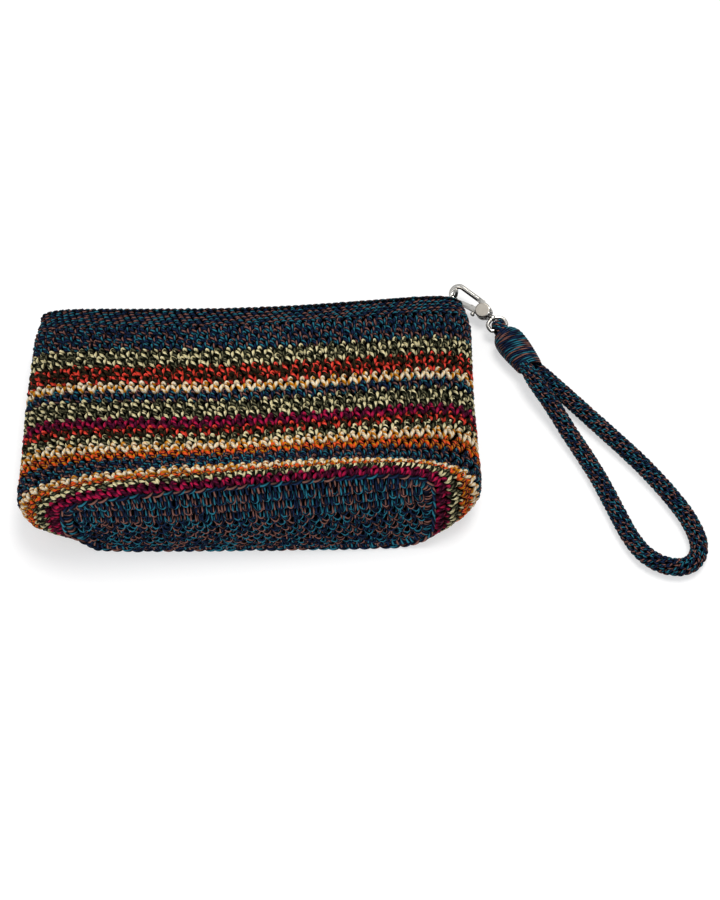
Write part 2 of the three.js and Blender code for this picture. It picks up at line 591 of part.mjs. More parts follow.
addMesh(clasp, 'snap_hook', makeHook(), COLOURS.nickel, 1);
addMesh(clasp, 'snap_gate', makeGate(), COLOURS.nickel, 1);
addMesh(clasp, 'gate_pin', disc(PIN_RADIUS, ...pinPlace, -bossTop, bossTop), COLOURS.nickel, 1);
const swivel = addGroup(corner, hookCentre.x, hookCentre.y, hookCentre.z);
swivel.rotation.z = radians(CLASP_ANGLE);
addMesh(swivel, 'stirrup', makeStirrup(), COLOURS.nickel, 1);

// Strap: the yarn eye sits round the stirrup's bar, then the whipping, then the cord's loop
const strapAxis = new THREE.Vector3(1, 0, 0).applyAxisAngle(new THREE.Vector3(0, 0, 1), radians(STRAP_ANGLE));
const stirrupAxis = new THREE.Vector3(1, 0, 0).applyAxisAngle(new THREE.Vector3(0, 0, 1), radians(CLASP_ANGLE + STIRRUP_TILT));
const ballCentre = hookCentre.clone().addScaledVector(claspAxis, neckEnd + CLEARANCE + BALL_RADIUS);
const barCentre = ballCentre.clone().addScaledVector(stirrupAxis, STIRRUP_LENGTH);
const eyeInner = STIRRUP_WIRE / 2 + CLEARANCE;
const eyeOuter = eyeInner + EYE_WALL;

const strap = addGroup(corner, barCentre.x, barCentre.y, CLASP_HEIGHT);
strap.rotation.set(0, 0, radians(STRAP_ANGLE));

function makeEye() {
  const ringShape = circle(eyeOuter, EYE_SIDES);
  ringShape.holes = [circle(eyeInner, POST_SIDES)];
  const geometry = new THREE.ExtrudeGeometry(ringShape, { depth: EYE_WIDTH, bevelEnabled: false });
  return geometry.translate(0, 0, -EYE_WIDTH / 2).rotateX(PI / 2).rotateZ(radians(CLASP_ANGLE + STIRRUP_TILT - STRAP_ANGLE));
}

function makeWhipping() {
  const start = eyeOuter + CLEARANCE;
  const profile = [
    [0, 0], [WRAP_START_RADIUS, 0], ...WRAP_SWELL.map(([r, s]) => [r * WRAP_RADIUS, s * WRAP_LENGTH]),
    [WRAP_END_RADIUS, WRAP_LENGTH], [0, WRAP_LENGTH],
  ].map(([r, s]) => new THREE.Vector2(r, s));
  const geometry = new THREE.LatheGeometry(profile, DISC_SIDES).rotateZ(-PI / 2);
  return geometry.scale(1, 1, WRAP_FLATTEN).translate(start, 0, 0);
}

addMesh(strap, 'strap_eye', makeEye(), COLOURS.navy);
addMesh(strap, 'whipping', makeWhipping(), COLOURS.navy);
addMesh(corner, 'strap_cord', tube(CORD_ROUTE, CORD_DIAMETER / 2, CORD_SIDES, CORD_STEPS), COLOURS.navy);

export default part;
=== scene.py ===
"""Crochet wristlet: a striped zip pouch lying on its back, with a cord strap clipped to its mouth.

Every stitch is a set of yarn strands laid on the pouch's wall: two legs that make a V, and the knob of its
top loop. A strand is a tube whose uv runs along and round it, so that six plies, each in its own colour,
wind round it. Lengths are in millimetres unless a comment says otherwise.
"""

import json

import bpy
import numpy as np
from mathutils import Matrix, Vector


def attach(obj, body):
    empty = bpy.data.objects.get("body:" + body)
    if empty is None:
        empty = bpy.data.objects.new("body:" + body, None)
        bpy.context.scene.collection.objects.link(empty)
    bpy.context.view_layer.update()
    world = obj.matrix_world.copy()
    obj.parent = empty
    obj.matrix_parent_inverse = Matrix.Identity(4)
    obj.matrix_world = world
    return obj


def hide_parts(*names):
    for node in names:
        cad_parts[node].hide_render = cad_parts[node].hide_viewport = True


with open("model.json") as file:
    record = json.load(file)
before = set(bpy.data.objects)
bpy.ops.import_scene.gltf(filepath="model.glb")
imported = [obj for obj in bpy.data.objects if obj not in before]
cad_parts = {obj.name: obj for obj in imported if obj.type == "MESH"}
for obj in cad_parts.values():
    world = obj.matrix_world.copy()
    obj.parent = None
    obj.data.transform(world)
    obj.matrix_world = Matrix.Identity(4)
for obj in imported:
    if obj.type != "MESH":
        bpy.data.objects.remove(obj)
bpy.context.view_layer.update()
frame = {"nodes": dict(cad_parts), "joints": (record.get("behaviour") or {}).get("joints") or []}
MM = 0.001
TAU = 2 * np.pi
UP = np.array([0.0, 0.0, 1.0])
random = np.random.default_rng(7)

# Pouch wall, as in the part
BASE_HALF_LENGTH = 81.5
BASE_DEPTH = 44.1
BASE_BULGE = 4.0
POUCH_HALF_WIDTH = 103.0
MOUTH_HALF_WIDTH = 102.5
MOUTH_HEIGHT = 24.0
FRONT_HEIGHT = 29.0
WALL_LENGTH = 121.0
WALL_RUN = 0.97
WALL_THICKNESS = 3.0
POUCH_LENGTH = WALL_LENGTH * WALL_RUN
MOUTH_Y = POUCH_LENGTH / 2
CORNER_ROUND = 26.0
CORNER_SHARE = 0.75
CORNER_Y = CORNER_ROUND * CORNER_SHARE
BASE_SQUARENESS = 5.0
MOUTH_SQUARENESS = 3.2
FACE_FALLOFF = 1.5
BACK_FLATNESS = 0.92
EDGE_LEAN = 8.0
EDGE_LEAN_TWIST = 5.0
LEAN_REACH = 60.0
BACK_TWIST = 2.0
EDGE_TILT = 0.9
FRONT_DROP_REACH = 42.0
EDGE_RIDGE = 2.0
EDGE_RIDGE_REACH = 12.0
EDGE_MITRE_REACH = 13.0
MOUTH_CURL_REACH = 18.0
RIM_ROWS = 2.6
# The base's lower left corner is cut along the line a * across + b * level = 1
LOW_LEFT_CUT = (0.957, 0.213)
LOW_LEFT_REACH = 14.0
# The mouth lies a little to the right, and its corners are rounded
MOUTH_SHIFT = 1.8
MOUTH_SHIFT_REACH = 60.0
MOUTH_ROUND_LEFT = 1.4
MOUTH_ROUND_RIGHT = 3.4
MOUTH_ROUND_REACH = 18.0

# How the rows drift up along the front: a constant, a slant and a bow across it, at each of five reaches
FLOW_REACHES = (0, 22, 37, 67, 121)
FLOW_TERMS = ((0, -1.5, 0, 0, -2.6), (0, -2, 1.6, 1.6, 1), (0, 0, 7.5, 8.2, 6.5))

# Stripes from the base to the rim: yarn and number of rounds
STRIPES = [
    ("burgundy", 1), ("green", 1), ("orange", 1), ("cream", 1), ("navy", 2), ("orange", 1), ("cream", 1),
    ("green", 1), ("red", 1), ("burgundy", 1), ("green", 2), ("navy", 1), ("cream", 1), ("red", 2),
    ("green", 2), ("navy", 3),
]
STRIPE_ROUNDS = sum(rounds for _, rounds in STRIPES)
ROW = WALL_LENGTH / (STRIPE_ROUNDS + RIM_ROWS)

# Stitches
STITCHES_ROUND = 90
STITCH_BED = 1.75
BACKING_DEPTH = 2.1
LEG_RADIUS = 0.98
KNOB_RADIUS = 0.8
STRAND_SIDES = 6
STRAND_STEPS = 2
# A strand is drawn in, and darkens with painted shade, towards its ends by powers of the distance from its
# middle
STRAND_END = 0.55
END_POWER = 4
END_SHADE_POWER = 3
SIZE_SPREAD = 0.05
FLOOR_CLEARANCE = 0.05
TURN_SAMPLES = 2880
WALL_COLUMNS = np.linspace(0, TAU, 241)[:-1]

# Yarn: turns of its plies in a millimetre, length of its fibres, how far these move on from strand to strand,
# how much painted shade darkens its sunk ends, and how dark the painted shade on its underside is
PLIES = 6
PLY_TURNS = 0.21
WRAP_PLY_TURNS = 0.06
FIBRE_LENGTH = 5.0
FIBRE_SHIFT = 7
END_SHADE = 0.75
UNDER_SHADE = 0.05
UNDER_POWER = 1.8
# A strand that is neither drawn in nor given painted shade at its ends
EVEN = {"ends": 1.0, "end_shade": 0.0}

# The six plies of each yarn, in the order that they lie round it, and the painted shade in the gaps between
# strands
YARNS = {
    "navy": ("#0b0f20", "#297587", "#0e1428", "#875c52", "#080b18", "#172b4c"),
    # The base's navy: the same yarn with lighter plies, painted light for the base
    "navy_base_lit": ("#0c1022", "#2f879e", "#10172e", "#9d6c60", "#0a0d1b", "#1b3256"),
    "green": ("#191c0f", "#f4e8b8", "#e2d49e", "#23261a", "#605e46", "#13160b"),
    "red": ("#241d11", "#ff5142", "#dc3c29", "#2c2214", "#1a150b", "#3c2d1c"),
    "cream": ("#ffefd0", "#c87808", "#d98f22", "#ffe6bb", "#fff3dc", "#fbd698"),
    "burgundy": ("#420a23", "#c81c4c", "#a81644", "#50102d", "#300719", "#5e1234"),
    "orange": ("#ff6530", "#fb5420", "#d68a14", "#5c1028", "#c97216", "#4a0c24"),
}
GAP_SHADE_COLOUR = "#030203"


# Small helpers

def clamp01(x):
    return np.clip(x, 0.0, 1.0)


def smooth(x):
    return clamp01(x) ** 2 * (3 - 2 * clamp01(x))


def unit(v):
    return v / np.maximum(np.linalg.norm(v, axis=-1, keepdims=True), 1e-9)


def heading(angle):
    """A level direction at an angle from the x axis."""
    return np.array([np.cos(angle), np.sin(angle), 0])


def points_at(x, y, z):
    """Points from their coordinates, each an array or a number for them all."""
    return np.stack(np.broadcast_arrays(x, y, z), axis=-1)


def circle_ring(sides):
    angle = np.linspace(0, TAU, sides, endpoint=False)
    return np.cos(angle), np.sin(angle)


def arc(start, end, steps):
    """Points along the unit circle between two angles, given in half turns."""
    angle = np.pi * np.linspace(start, end, steps)
    return np.stack([np.cos(angle), np.sin(angle)], axis=-1)


def rounded_square(sides):
    """Points round the curve |x|^4 + |y|^4 = 1."""
    ring = np.stack(circle_ring(sides), axis=-1)
    return np.sign(ring) * np.abs(ring) ** 0.5


def linear(code):
    """A colour written as #rrggbb, as linear red, green, blue and alpha."""
    values = np.array([int(code[i:i + 2], 16) / 255 for i in (1, 3, 5)])
    low = values / 12.92
    high = ((values + 0.055) / 1.055) ** 2.4
    return (*np.where(values <= 0.04045, low, high), 1.0)


def spline(points, steps):
    """Smooth curves through rows of points, with a number of steps between each two points. The slope at a
    point is half the way from the point before it to the point after it."""
    points = np.asarray(points, float)
    before = 2 * points[..., :1, :] - points[..., 1:2, :]
    after = 2 * points[..., -1:, :] - points[..., -2:-1, :]
    ends = np.concatenate([before, points, after], axis=-2)
    t = np.linspace(0, 1, steps, endpoint=False)[:, None]
    a, b, c, d = (ends[..., i:ends.shape[-2] - 3 + i, None, :] for i in range(4))
    curve = b + 0.5 * t * (c - a + t * (2 * a - 5 * b + 4 * c - d + t * (3 * (b - c) + d - a)))
    curve = curve.reshape(*points.shape[:-2], -1, points.shape[-1])
    return np.concatenate([curve, points[..., -1:, :]], axis=-2)


def path_lengths(path):
    """The length of a path from its start to each of its points."""
    steps = np.linalg.norm(np.diff(path, axis=0), axis=1)
    return np.concatenate([[0], np.cumsum(steps)])


def pick(table, lengths, place):
    """Rows of a table, one for each point of a path, at places along the path."""
    return np.stack([np.interp(place, lengths, column) for column in table.T], axis=-1)


# Pouch surface

def rise_at(level):
    """The share of the pouch's height at a level of its section, whose back is flat."""
    return np.maximum(0, (level + BACK_FLATNESS) / (1 + BACK_FLATNESS))


def level_at(rise):
    return rise * (1 + BACK_FLATNESS) - BACK_FLATNESS


def leaning(across, rise):
    """How far the base plane leans towards the mouth."""
    return (EDGE_LEAN + EDGE_LEAN_TWIST * across) * rise - BACK_TWIST * across * (1 - rise)


def section(turn, reach):
    """The pouch's section: a superellipse met by a ray at an angle, |x|^n + |y|^n = 1, softer towards the
    mouth. Its lower left corner is cut off at the base, and less with the distance from there."""
    cosine, sine = np.cos(turn), np.sin(turn)
    n = BASE_SQUARENESS + (MOUTH_SQUARENESS - BASE_SQUARENESS) * smooth(reach / CORNER_ROUND)
    radius = (np.abs(cosine) ** n + np.abs(sine) ** n) ** (-1 / n)
    cut = 1 / (LOW_LEFT_CUT[0] * np.abs(cosine) + LOW_LEFT_CUT[1] * np.abs(sine))
    cut = cut + (radius - cut) * smooth(reach / LOW_LEFT_REACH)
    radius = np.where((cosine < 0) & (sine < 0), np.minimum(radius, cut), radius)
    return radius * cosine, radius * sine


def wall(turn, reach, depth, flow=1.0):
    """Points of the wall at an angle round the pouch, a distance up from the base edge and a depth under the
    skin. The sides turn from the base plane into the side faces over the corner round, and the front sinks
    to the mouth. flow is the share of the rows' drift and of the mouth's shift and rounding."""
    turn, reach, depth = np.broadcast_arrays(turn, reach, depth)
    across, level = section(turn, reach)
    rise = rise_at(level)
    quarter = np.pi / 2 * clamp01(reach / CORNER_ROUND)
    along = clamp01((reach - CORNER_ROUND) / (WALL_LENGTH - CORNER_ROUND))
    half = BASE_HALF_LENGTH + (POUCH_HALF_WIDTH - BASE_HALF_LENGTH) * np.sin(quarter)
    half = half - (POUCH_HALF_WIDTH - MOUTH_HALF_WIDTH) * along
    side_y = CORNER_Y * (1 - np.cos(quarter)) + (POUCH_LENGTH - CORNER_Y) * along
    flatness = np.abs(level) ** FACE_FALLOFF
    fade = 1 - smooth(reach / LEAN_REACH)
    y = side_y + (reach * WALL_RUN - side_y) * flatness + leaning(across, rise) * fade - MOUTH_Y
    constant, slant, bow = (np.interp(reach, FLOW_REACHES, terms) for terms in FLOW_TERMS)
    y = y + flow * smooth(rise) * (constant + slant * across + bow * across ** 2)
    shift = MOUTH_SHIFT * smooth((reach - MOUTH_SHIFT_REACH) / MOUTH_SHIFT_REACH)
    rounding = np.where(across < 0, MOUTH_ROUND_LEFT, MOUTH_ROUND_RIGHT)
    rounding = rounding * clamp01((reach - WALL_LENGTH + MOUTH_ROUND_REACH) / MOUTH_ROUND_REACH) ** 2
    x = half * across + flow * (shift - rounding * across)
    edge = BASE_DEPTH + EDGE_TILT * across
    ridge = EDGE_RIDGE * np.sin(np.pi * clamp01(reach / EDGE_RIDGE_REACH))
    curl = smooth((reach - WALL_LENGTH + MOUTH_CURL_REACH) / MOUTH_CURL_REACH)
    curl = (FRONT_HEIGHT - MOUTH_HEIGHT) * curl
    height = edge + (FRONT_HEIGHT - edge) * smooth(reach / FRONT_DROP_REACH) + ridge - curl
    mitre = clamp01(1 - reach / EDGE_MITRE_REACH) * flatness
    into = points_at(-across * np.sin(quarter), np.cos(quarter) * (1 - flatness) + mitre, 1 - 2 * rise)
    return points_at(x, y, height * rise) + depth[..., None] * into


def base(across, level, depth):
    """Points of the base panel: a leaning superellipse, bulging by a share that fades to its edge."""
    rise = rise_at(level)
    n = BASE_SQUARENESS
    share = (np.abs(across) ** n + np.abs(level) ** n) ** (1 / n)
    y = leaning(across, rise) - BASE_BULGE * (1 - np.minimum(share, 1) ** 2) + depth - MOUTH_Y
    return points_at(BASE_HALF_LENGTH * across, y, (BASE_DEPTH + EDGE_TILT * across) * rise)


def even_turns(reach):
    """Angles round the pouch against shares of the length round it, as a table."""
    turns = np.linspace(0, TAU, TURN_SAMPLES + 1)
    lengths = path_lengths(wall(turns, reach, 0.0))
    return lengths / lengths[-1], turns


def turn_at(share, table):
    """The angle at a share of the way round, which may run past either end."""
    lengths, turns = table
    whole = np.floor(share)
    return np.interp(share - whole, lengths, turns) + TAU * whole


# Meshes

def add_object(name, points, faces, uv=None, slots=None, proud=None):
    """A smooth mesh object in metres from points in millimetres, four-cornered faces, a uv for each corner, a
    material number for each face, and how proud of its strand each point stands, which sets its painted
    shade."""
    mesh = bpy.data.meshes.new(name)
    mesh.vertices.add(len(points))
    mesh.vertices.foreach_set("co", (np.asarray(points, np.float32) * MM).ravel())
    corners = np.asarray(faces, np.int32)
    mesh.loops.add(corners.size)
    mesh.loops.foreach_set("vertex_index", corners.ravel())
    mesh.polygons.add(len(corners))
    mesh.polygons.foreach_set("loop_start", np.arange(0, corners.size, corners.shape[1], dtype=np.int32))
    mesh.update(calc_edges=True)
    mesh.polygons.foreach_set("use_smooth", np.full(len(corners), True))
    if slots is not None:
        mesh.polygons.foreach_set("material_index", np.asarray(slots, np.int32))
    if uv is not None:
        layer = mesh.uv_layers.new(name="yarn")
        layer.data.foreach_set("uv", np.asarray(uv, np.float32).reshape(-1))
    if proud is not None:
        layer = mesh.attributes.new("proud", "FLOAT", "POINT")
        layer.data.foreach_set("value", np.asarray(proud, np.float32))
    mesh.validate()
    obj = bpy.data.objects.new(name, mesh)
    bpy.context.scene.collection.objects.link(obj)
    return obj


class Fabric:
    """Gathers strands and sheets, each with points, faces, corner uvs, a material number and how proud each
    point stands, which sets its painted shade."""

    def __init__(self):
        self.parts = []
        self.count = 0

    def add(self, points, faces, uv, slot, proud=1.0):
        slots = np.full(faces.size // 4, slot)
        proud = np.broadcast_to(proud, points.shape[:-1]).ravel()
        faces = faces.reshape(-1, 4) + self.count
        self.parts.append((points.reshape(-1, 3), faces, uv.reshape(-1, 8), slots, proud))
        self.count += points.size // 3

    def build(self, name, materials):
        points, *others = (np.concatenate(rows) for rows in zip(*self.parts))
        points[:, 2] = np.maximum(points[:, 2], FLOOR_CLEARANCE)
        obj = add_object(name, points, *others)
        for material in materials:
            obj.data.materials.append(material)
        return obj


def strands(fabric, lines, outward, radius, phase, ends=STRAND_END, end_shade=END_SHADE, turns=PLY_TURNS):
    """Strands along centre lines: at each step a six-sided ring round the line, drawn in towards both ends.
    The uv runs along the strand, and round it from a phase that moves on with the plies' twist. A point is
    proud by how far it turns outwards, (1 + cos angle) / 2, less where the strand's ends sink in; the less
    proud it is, the more painted shade it gets.
    lines are strands x steps x 3 numbers. outward is as many, or one direction for them all."""
    count, steps, _ = lines.shape
    sides = STRAND_SIDES
    tangent = unit(np.gradient(lines, axis=1))
    normal = unit(outward - tangent * (outward * tangent).sum(-1, keepdims=True))
    binormal = np.cross(tangent, normal)
    from_middle = np.abs(np.linspace(-1, 1, steps))
    angle = TAU * np.arange(sides) / sides
    size = np.broadcast_to(radius, (count,))[:, None] * (1 - (1 - ends) * from_middle ** END_POWER)
    ring = np.cos(angle)[:, None] * normal[:, :, None, :] + np.sin(angle)[:, None] * binormal[:, :, None, :]
    points = lines[:, :, None, :] + size[:, :, None, None] * ring
    proud = (0.5 + 0.5 * np.cos(angle)) * (1 - end_shade * from_middle ** END_SHADE_POWER)[:, None]
    index = np.arange(count * steps * sides).reshape(count, steps, sides)
    after = np.roll(index, -1, axis=2)
    walls = np.stack([index[:, :-1], after[:, :-1], after[:, 1:], index[:, 1:]], axis=-1)
    low, high = index[:, 0], index[:, -1]
    caps = np.stack([
        low[:, [3, 2, 1, 0]], low[:, [5, 4, 3, 0]], high[:, [0, 1, 2, 3]], high[:, [0, 3, 4, 5]],
    ], axis=1)
    lengths = np.cumsum(np.linalg.norm(np.diff(lines, axis=1), axis=-1), axis=1)
    along = np.concatenate([np.zeros((count, 1)), lengths], axis=1)
    here = (along * turns + phase[:, None])[:, :, None] + np.arange(sides) / sides
    there = here + 1 / sides
    u = np.broadcast_to((along / FIBRE_LENGTH + FIBRE_SHIFT * phase[:, None])[:, :, None], here.shape)
    wall_uv = np.stack([
        u[:, :-1], here[:, :-1], u[:, :-1], there[:, :-1], u[:, 1:], there[:, 1:], u[:, 1:], here[:, 1:],
    ], axis=-1)
    cap_uv = np.full((count, 4, 8), 0.5)
    faces = np.concatenate([walls.reshape(-1, 4), caps.reshape(-1, 4)])
    uv = np.concatenate([wall_uv.reshape(-1, 8), cap_uv.reshape(-1, 8)])
    fabric.add(points, faces, uv, 0, np.broadcast_to(proud, (count, steps, sides)))


def sheet(fabric, grid, slot):
    """A skin over a grid of points, rows x columns, whose columns join up."""
    rows, columns, _ = grid.shape
    index = np.arange(rows * columns).reshape(rows, columns)
    after = np.roll(index, -1, axis=1)
    faces = np.stack([index[:-1], after[:-1], after[1:], index[1:]], axis=-1)
    fabric.add(grid, faces, np.full((faces.size // 4, 8), 0.5), slot)


def ring_body(fabric, loops, slot):
    """A closed ring over loops of points, the last of which joins the first."""
    sheet(fabric, np.concatenate([loops, loops[:1]]), slot)


# Points nearer than this, in metres, are merged, and edges that turn by more than this angle stay sharp
WELD_DISTANCE = 1e-6
FLAT_ANGLE = np.radians(35)


def weld(obj):
    """Merges points that coincide, so that poles and seams are closed."""
    modifier = obj.modifiers.new("weld", "WELD")
    modifier.merge_threshold = WELD_DISTANCE
    bpy.context.view_layer.objects.active = obj
    bpy.ops.object.modifier_apply(modifier=modifier.name)


def add_piece(fabric, name, materials, node, body, welded=False, sharp=False):
    """The object of a fabric, which rides a body and takes the place of a node of the part."""
    obj = fabric.build(name, materials)
    if welded:
        weld(obj)
    if sharp:
        obj.data.set_sharp_from_angle(angle=FLAT_ANGLE)
    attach(obj, body)
    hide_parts(node)
    return obj


# Materials

# Fibres: how often threads come along and round a strand, spans and lows of their shade and of slow changes
# from place to place, and how sharp and dark the painted shade in the hollows between plies is
FIBRE_SCALE = (5, 46, 1)
FIBRE_DETAIL = 3.0
FIBRE_SHADE = (0.7, 0.5)
SLOW_SCALE = 160.0
SLOW_SHADE = (0.5, 0.95)
HOLLOW_POWER = 4.0
HOLLOW_SHADE = 0.4
YARN_FINISH = {"Roughness": 0.6, "Specular IOR Level": 0.05}
GAP_FINISH = {"Roughness": 0.9, "Specular IOR Level": 0.0}
GAP_SCALE = 900.0
# Depths of the bumps, in metres
YARN_BUMP = 0.00025
GAP_BUMP = 0.0004


def feed(tree, node, inputs):
    """Sets inputs of a node, by name or number: each to a constant, or to the socket that feeds it."""
    for key, value in inputs.items():
        if isinstance(value, bpy.types.NodeSocket):
            tree.links.new(value, node.inputs[key])
        else:
            node.inputs[key].default_value = value


def add_node(tree, kind, inputs=None, **settings):
    node = tree.nodes.new(kind)
    for name, value in settings.items():
        setattr(node, name, value)
    feed(tree, node, inputs or {})
    return node


def math_node(tree, operation, *values):
    return add_node(tree, "ShaderNodeMath", dict(enumerate(values)), operation=operation).outputs[0]


def ranged(tree, value, span, low):
    """A value times a span, plus its lowest value."""
    return math_node(tree, "ADD", math_node(tree, "MULTIPLY", value, span), low)


def split(tree, vector):
    """The three numbers of a vector, by the names of their axes."""
    return add_node(tree, "ShaderNodeSeparateXYZ", {0: vector}).outputs


def noise(tree, vector, scale, detail=2.0):
    inputs = {"Vector": vector, "Scale": scale, "Detail": detail}
    return add_node(tree, "ShaderNodeTexNoise", inputs).outputs["Fac"]


def stretched(tree, vector, scale, turn=0.0):
    inputs = {"Vector": vector, "Scale": scale, "Rotation": (0, 0, turn)}
    return add_node(tree, "ShaderNodeMapping", inputs).outputs["Vector"]


def place_in(tree):
    """The place on the object, in metres."""
    return add_node(tree, "ShaderNodeTexCoord").outputs["Object"]


def proud_in(tree):
    """How proud each point of the mesh stands."""
    return add_node(tree, "ShaderNodeAttribute", attribute_name="proud").outputs["Fac"]


def bump(tree, height, distance, strength=1.0):
    inputs = {"Height": height, "Distance": distance, "Strength": strength}
    return add_node(tree, "ShaderNodeBump", inputs).outputs["Normal"]


def multiply_colour(tree, colour, value):
    """A colour times a value that changes over the surface."""
    node = add_node(tree, "ShaderNodeMix", {0: 1.0}, data_type="RGBA", blend_type="MULTIPLY")
    first, second = (number for number, socket in enumerate(node.inputs) if socket.type == "RGBA")
    feed(tree, node, {first: colour, second: value})
    return next(socket for socket in node.outputs if socket.type == "RGBA")


def colour_ramp(tree, value, stops, interpolation):
    """A colour by a value, from stops of a position and a colour."""
    node = add_node(tree, "ShaderNodeValToRGB", {"Fac": value})
    ramp = node.color_ramp
    ramp.interpolation = interpolation
    for element, (position, _) in zip(ramp.elements, stops):
        element.position = position
    for position, _ in stops[2:]:
        ramp.elements.new(position)
    for element, (_, code) in zip(ramp.elements, stops):
        element.color = linear(code)
    return node.outputs["Color"]


def new_group(name, vectors, floats, outputs):
    """A shader node group with named inputs, vectors and then numbers, and outputs, which are numbers."""
    tree = bpy.data.node_groups.new(name, "ShaderNodeTree")
    for label in vectors:
        tree.interface.new_socket(label, in_out="INPUT", socket_type="NodeSocketVector")
    for label in floats:
        tree.interface.new_socket(label, in_out="INPUT", socket_type="NodeSocketFloat")
    for label in outputs:
        tree.interface.new_socket(label, in_out="OUTPUT", socket_type="NodeSocketFloat")
    return tree, add_node(tree, "NodeGroupInput").outputs, add_node(tree, "NodeGroupOutput")


def new_material(name):
    material = bpy.data.materials.new(name)
    material.use_nodes = True
    tree = material.node_tree
    return material, tree, tree.nodes["Principled BSDF"]


def make_fibre_and_shade_group():
    """Fibres of a yarn, and painted shade: fine threads along the strand's uv, painted shade in the hollows
    between its plies, slow changes of shade from place to place, and painted shade on the strand's underside
    and sunk ends."""
    tree, given, put = new_group("yarn_fibres_and_shade", ["Strand", "Place"], ["Proud"], ["Shade", "Height"])
    threads = noise(tree, stretched(tree, given["Strand"], FIBRE_SCALE), 1.0, FIBRE_DETAIL)
    slow = noise(tree, given["Place"], SLOW_SCALE)
    plies = math_node(tree, "MULTIPLY", split(tree, given["Strand"])["Y"], float(PLIES))
    off_ridge = math_node(tree, "ABSOLUTE", ranged(tree, math_node(tree, "FRACT", plies), 2.0, -1.0))
    hollow = math_node(tree, "MULTIPLY", math_node(tree, "POWER", off_ridge, HOLLOW_POWER), HOLLOW_SHADE)
    shade = ranged(tree, threads, *FIBRE_SHADE)
    shade = math_node(tree, "MULTIPLY", shade, ranged(tree, slow, *SLOW_SHADE))
    shade = math_node(tree, "MULTIPLY", shade, math_node(tree, "SUBTRACT", 1.0, hollow))
    under = math_node(tree, "POWER", given["Proud"], UNDER_POWER)
    under = ranged(tree, under, 1 - UNDER_SHADE, UNDER_SHADE)
    height = math_node(tree, "SUBTRACT", threads, hollow)
    feed(tree, put, {"Shade": math_node(tree, "MULTIPLY", shade, under), "Height": height})
    return tree


def finish_surface(tree, shader, colour, shade, normal, others):
    """Gives a shader a colour times a shade, a normal and its other inputs."""
    colour = multiply_colour(tree, colour, shade)
    feed(tree, shader, {"Base Color": colour, "Normal": normal, **others})


def yarn_material(name, plies):
    """Marl yarn: the strand's uv says which of its plies a point belongs to, and the fibre group adds painted
    shade.
    """
    material, tree, shader = new_material(f"yarn_{name}")
    uv = add_node(tree, "ShaderNodeUVMap", uv_map="yarn").outputs[0]
    turn = math_node(tree, "FRACT", split(tree, uv)["Y"])
    stops = [(number / PLIES, code) for number, code in enumerate(plies)]
    colour = colour_ramp(tree, turn, stops, "CONSTANT")
    inputs = {"Strand": uv, "Place": place_in(tree), "Proud": proud_in(tree)}
    fibres = add_node(tree, "ShaderNodeGroup", inputs, node_tree=FIBRES_AND_SHADE).outputs
    normal = bump(tree, fibres["Height"], YARN_BUMP)
    finish_surface(tree, shader, colour, fibres["Shade"], normal, YARN_FINISH)
    return material


def shaded_gap_material():
    """The fabric's backing, near black as painted shade, seen only through the gaps between strands."""
    material, tree, shader = new_material("yarn_gaps_painted_shade")
    specks = noise(tree, place_in(tree), GAP_SCALE)
    finish_surface(tree, shader, linear(GAP_SHADE_COLOUR), specks, bump(tree, specks, GAP_BUMP), GAP_FINISH)
    return material


FIBRES_AND_SHADE = make_fibre_and_shade_group()
SHADED_GAPS = shaded_gap_material()
YARN = {name: [yarn_material(name, plies), SHADED_GAPS] for name, plies in YARNS.items()}


# Crochet on the pouch

# One stitch in its cell: how far along the round, how far up the row and how far out, along each strand
LEG_SPREAD = np.array([0.05, 0.12, 0.23, 0.34, 0.4])
LEG_RISE = np.array([-0.18, 0.04, 0.28, 0.52, 0.72])
LEG_OUT = np.array([-0.5, 0.35, 0.75, 0.6, -0.4])
KNOB_ALONG = np.array([0.46, 0.4, 0.28, 0.16, 0.1])
KNOB_RISE = np.array([0.66, 0.86, 0.97, 0.86, 0.66])
KNOB_OUT = np.array([-0.4, 0.5, 0.85, 0.5, -0.4])
ROUND_SHIFT = -0.22
BACKING_STEPS = 4
# How much stitches differ in their place along, up and out
CELL_SPREADS = (0.045, 0.04, 0.07)
TO_MOUTH = np.array([0.0, 1.0, 0.0])


def cells(count):
    """Small random changes of place, along, up and out, for a row of stitches."""
    return [random.normal(0, spread, (count, 1)) for spread in CELL_SPREADS]


def lay(fabric, lines, outward, radius, **looks):
    """Strands along lines, whose sizes differ a little and whose plies start anywhere."""
    sizes = radius * random.normal(1, SIZE_SPREAD, len(lines))
    strands(fabric, lines, outward, sizes, random.random(len(lines)), **looks)


def on_wall(fabric, table, along, reach, out, radius, count=STITCHES_ROUND):
    """Lays strands on the wall, given how far round, up and out each of their points is."""
    turn = turn_at(along / count, table)
    depth = STITCH_BED - out
    lines = spline(wall(turn, reach, depth), STRAND_STEPS)
    outward = spline(wall(turn, reach, depth - 1), STRAND_STEPS) - lines
    lay(fabric, lines, outward, radius)


def add_round(fabric, row):
    """One round of single crochet."""
    table = even_turns((row + 0.5) * ROW)
    start = np.arange(STITCHES_ROUND)[:, None] + row * ROUND_SHIFT + 0.5
    left_leg = (-LEG_SPREAD, LEG_RISE, LEG_OUT, LEG_RADIUS)
    right_leg = (LEG_SPREAD, LEG_RISE, LEG_OUT, LEG_RADIUS)
    for spread, rise, proud, radius in (left_leg, right_leg, (KNOB_ALONG, KNOB_RISE, KNOB_OUT, KNOB_RADIUS)):
        along, up, out = cells(STITCHES_ROUND)
        on_wall(fabric, table, start + along + spread, (row + up + rise) * ROW, proud + out, radius)


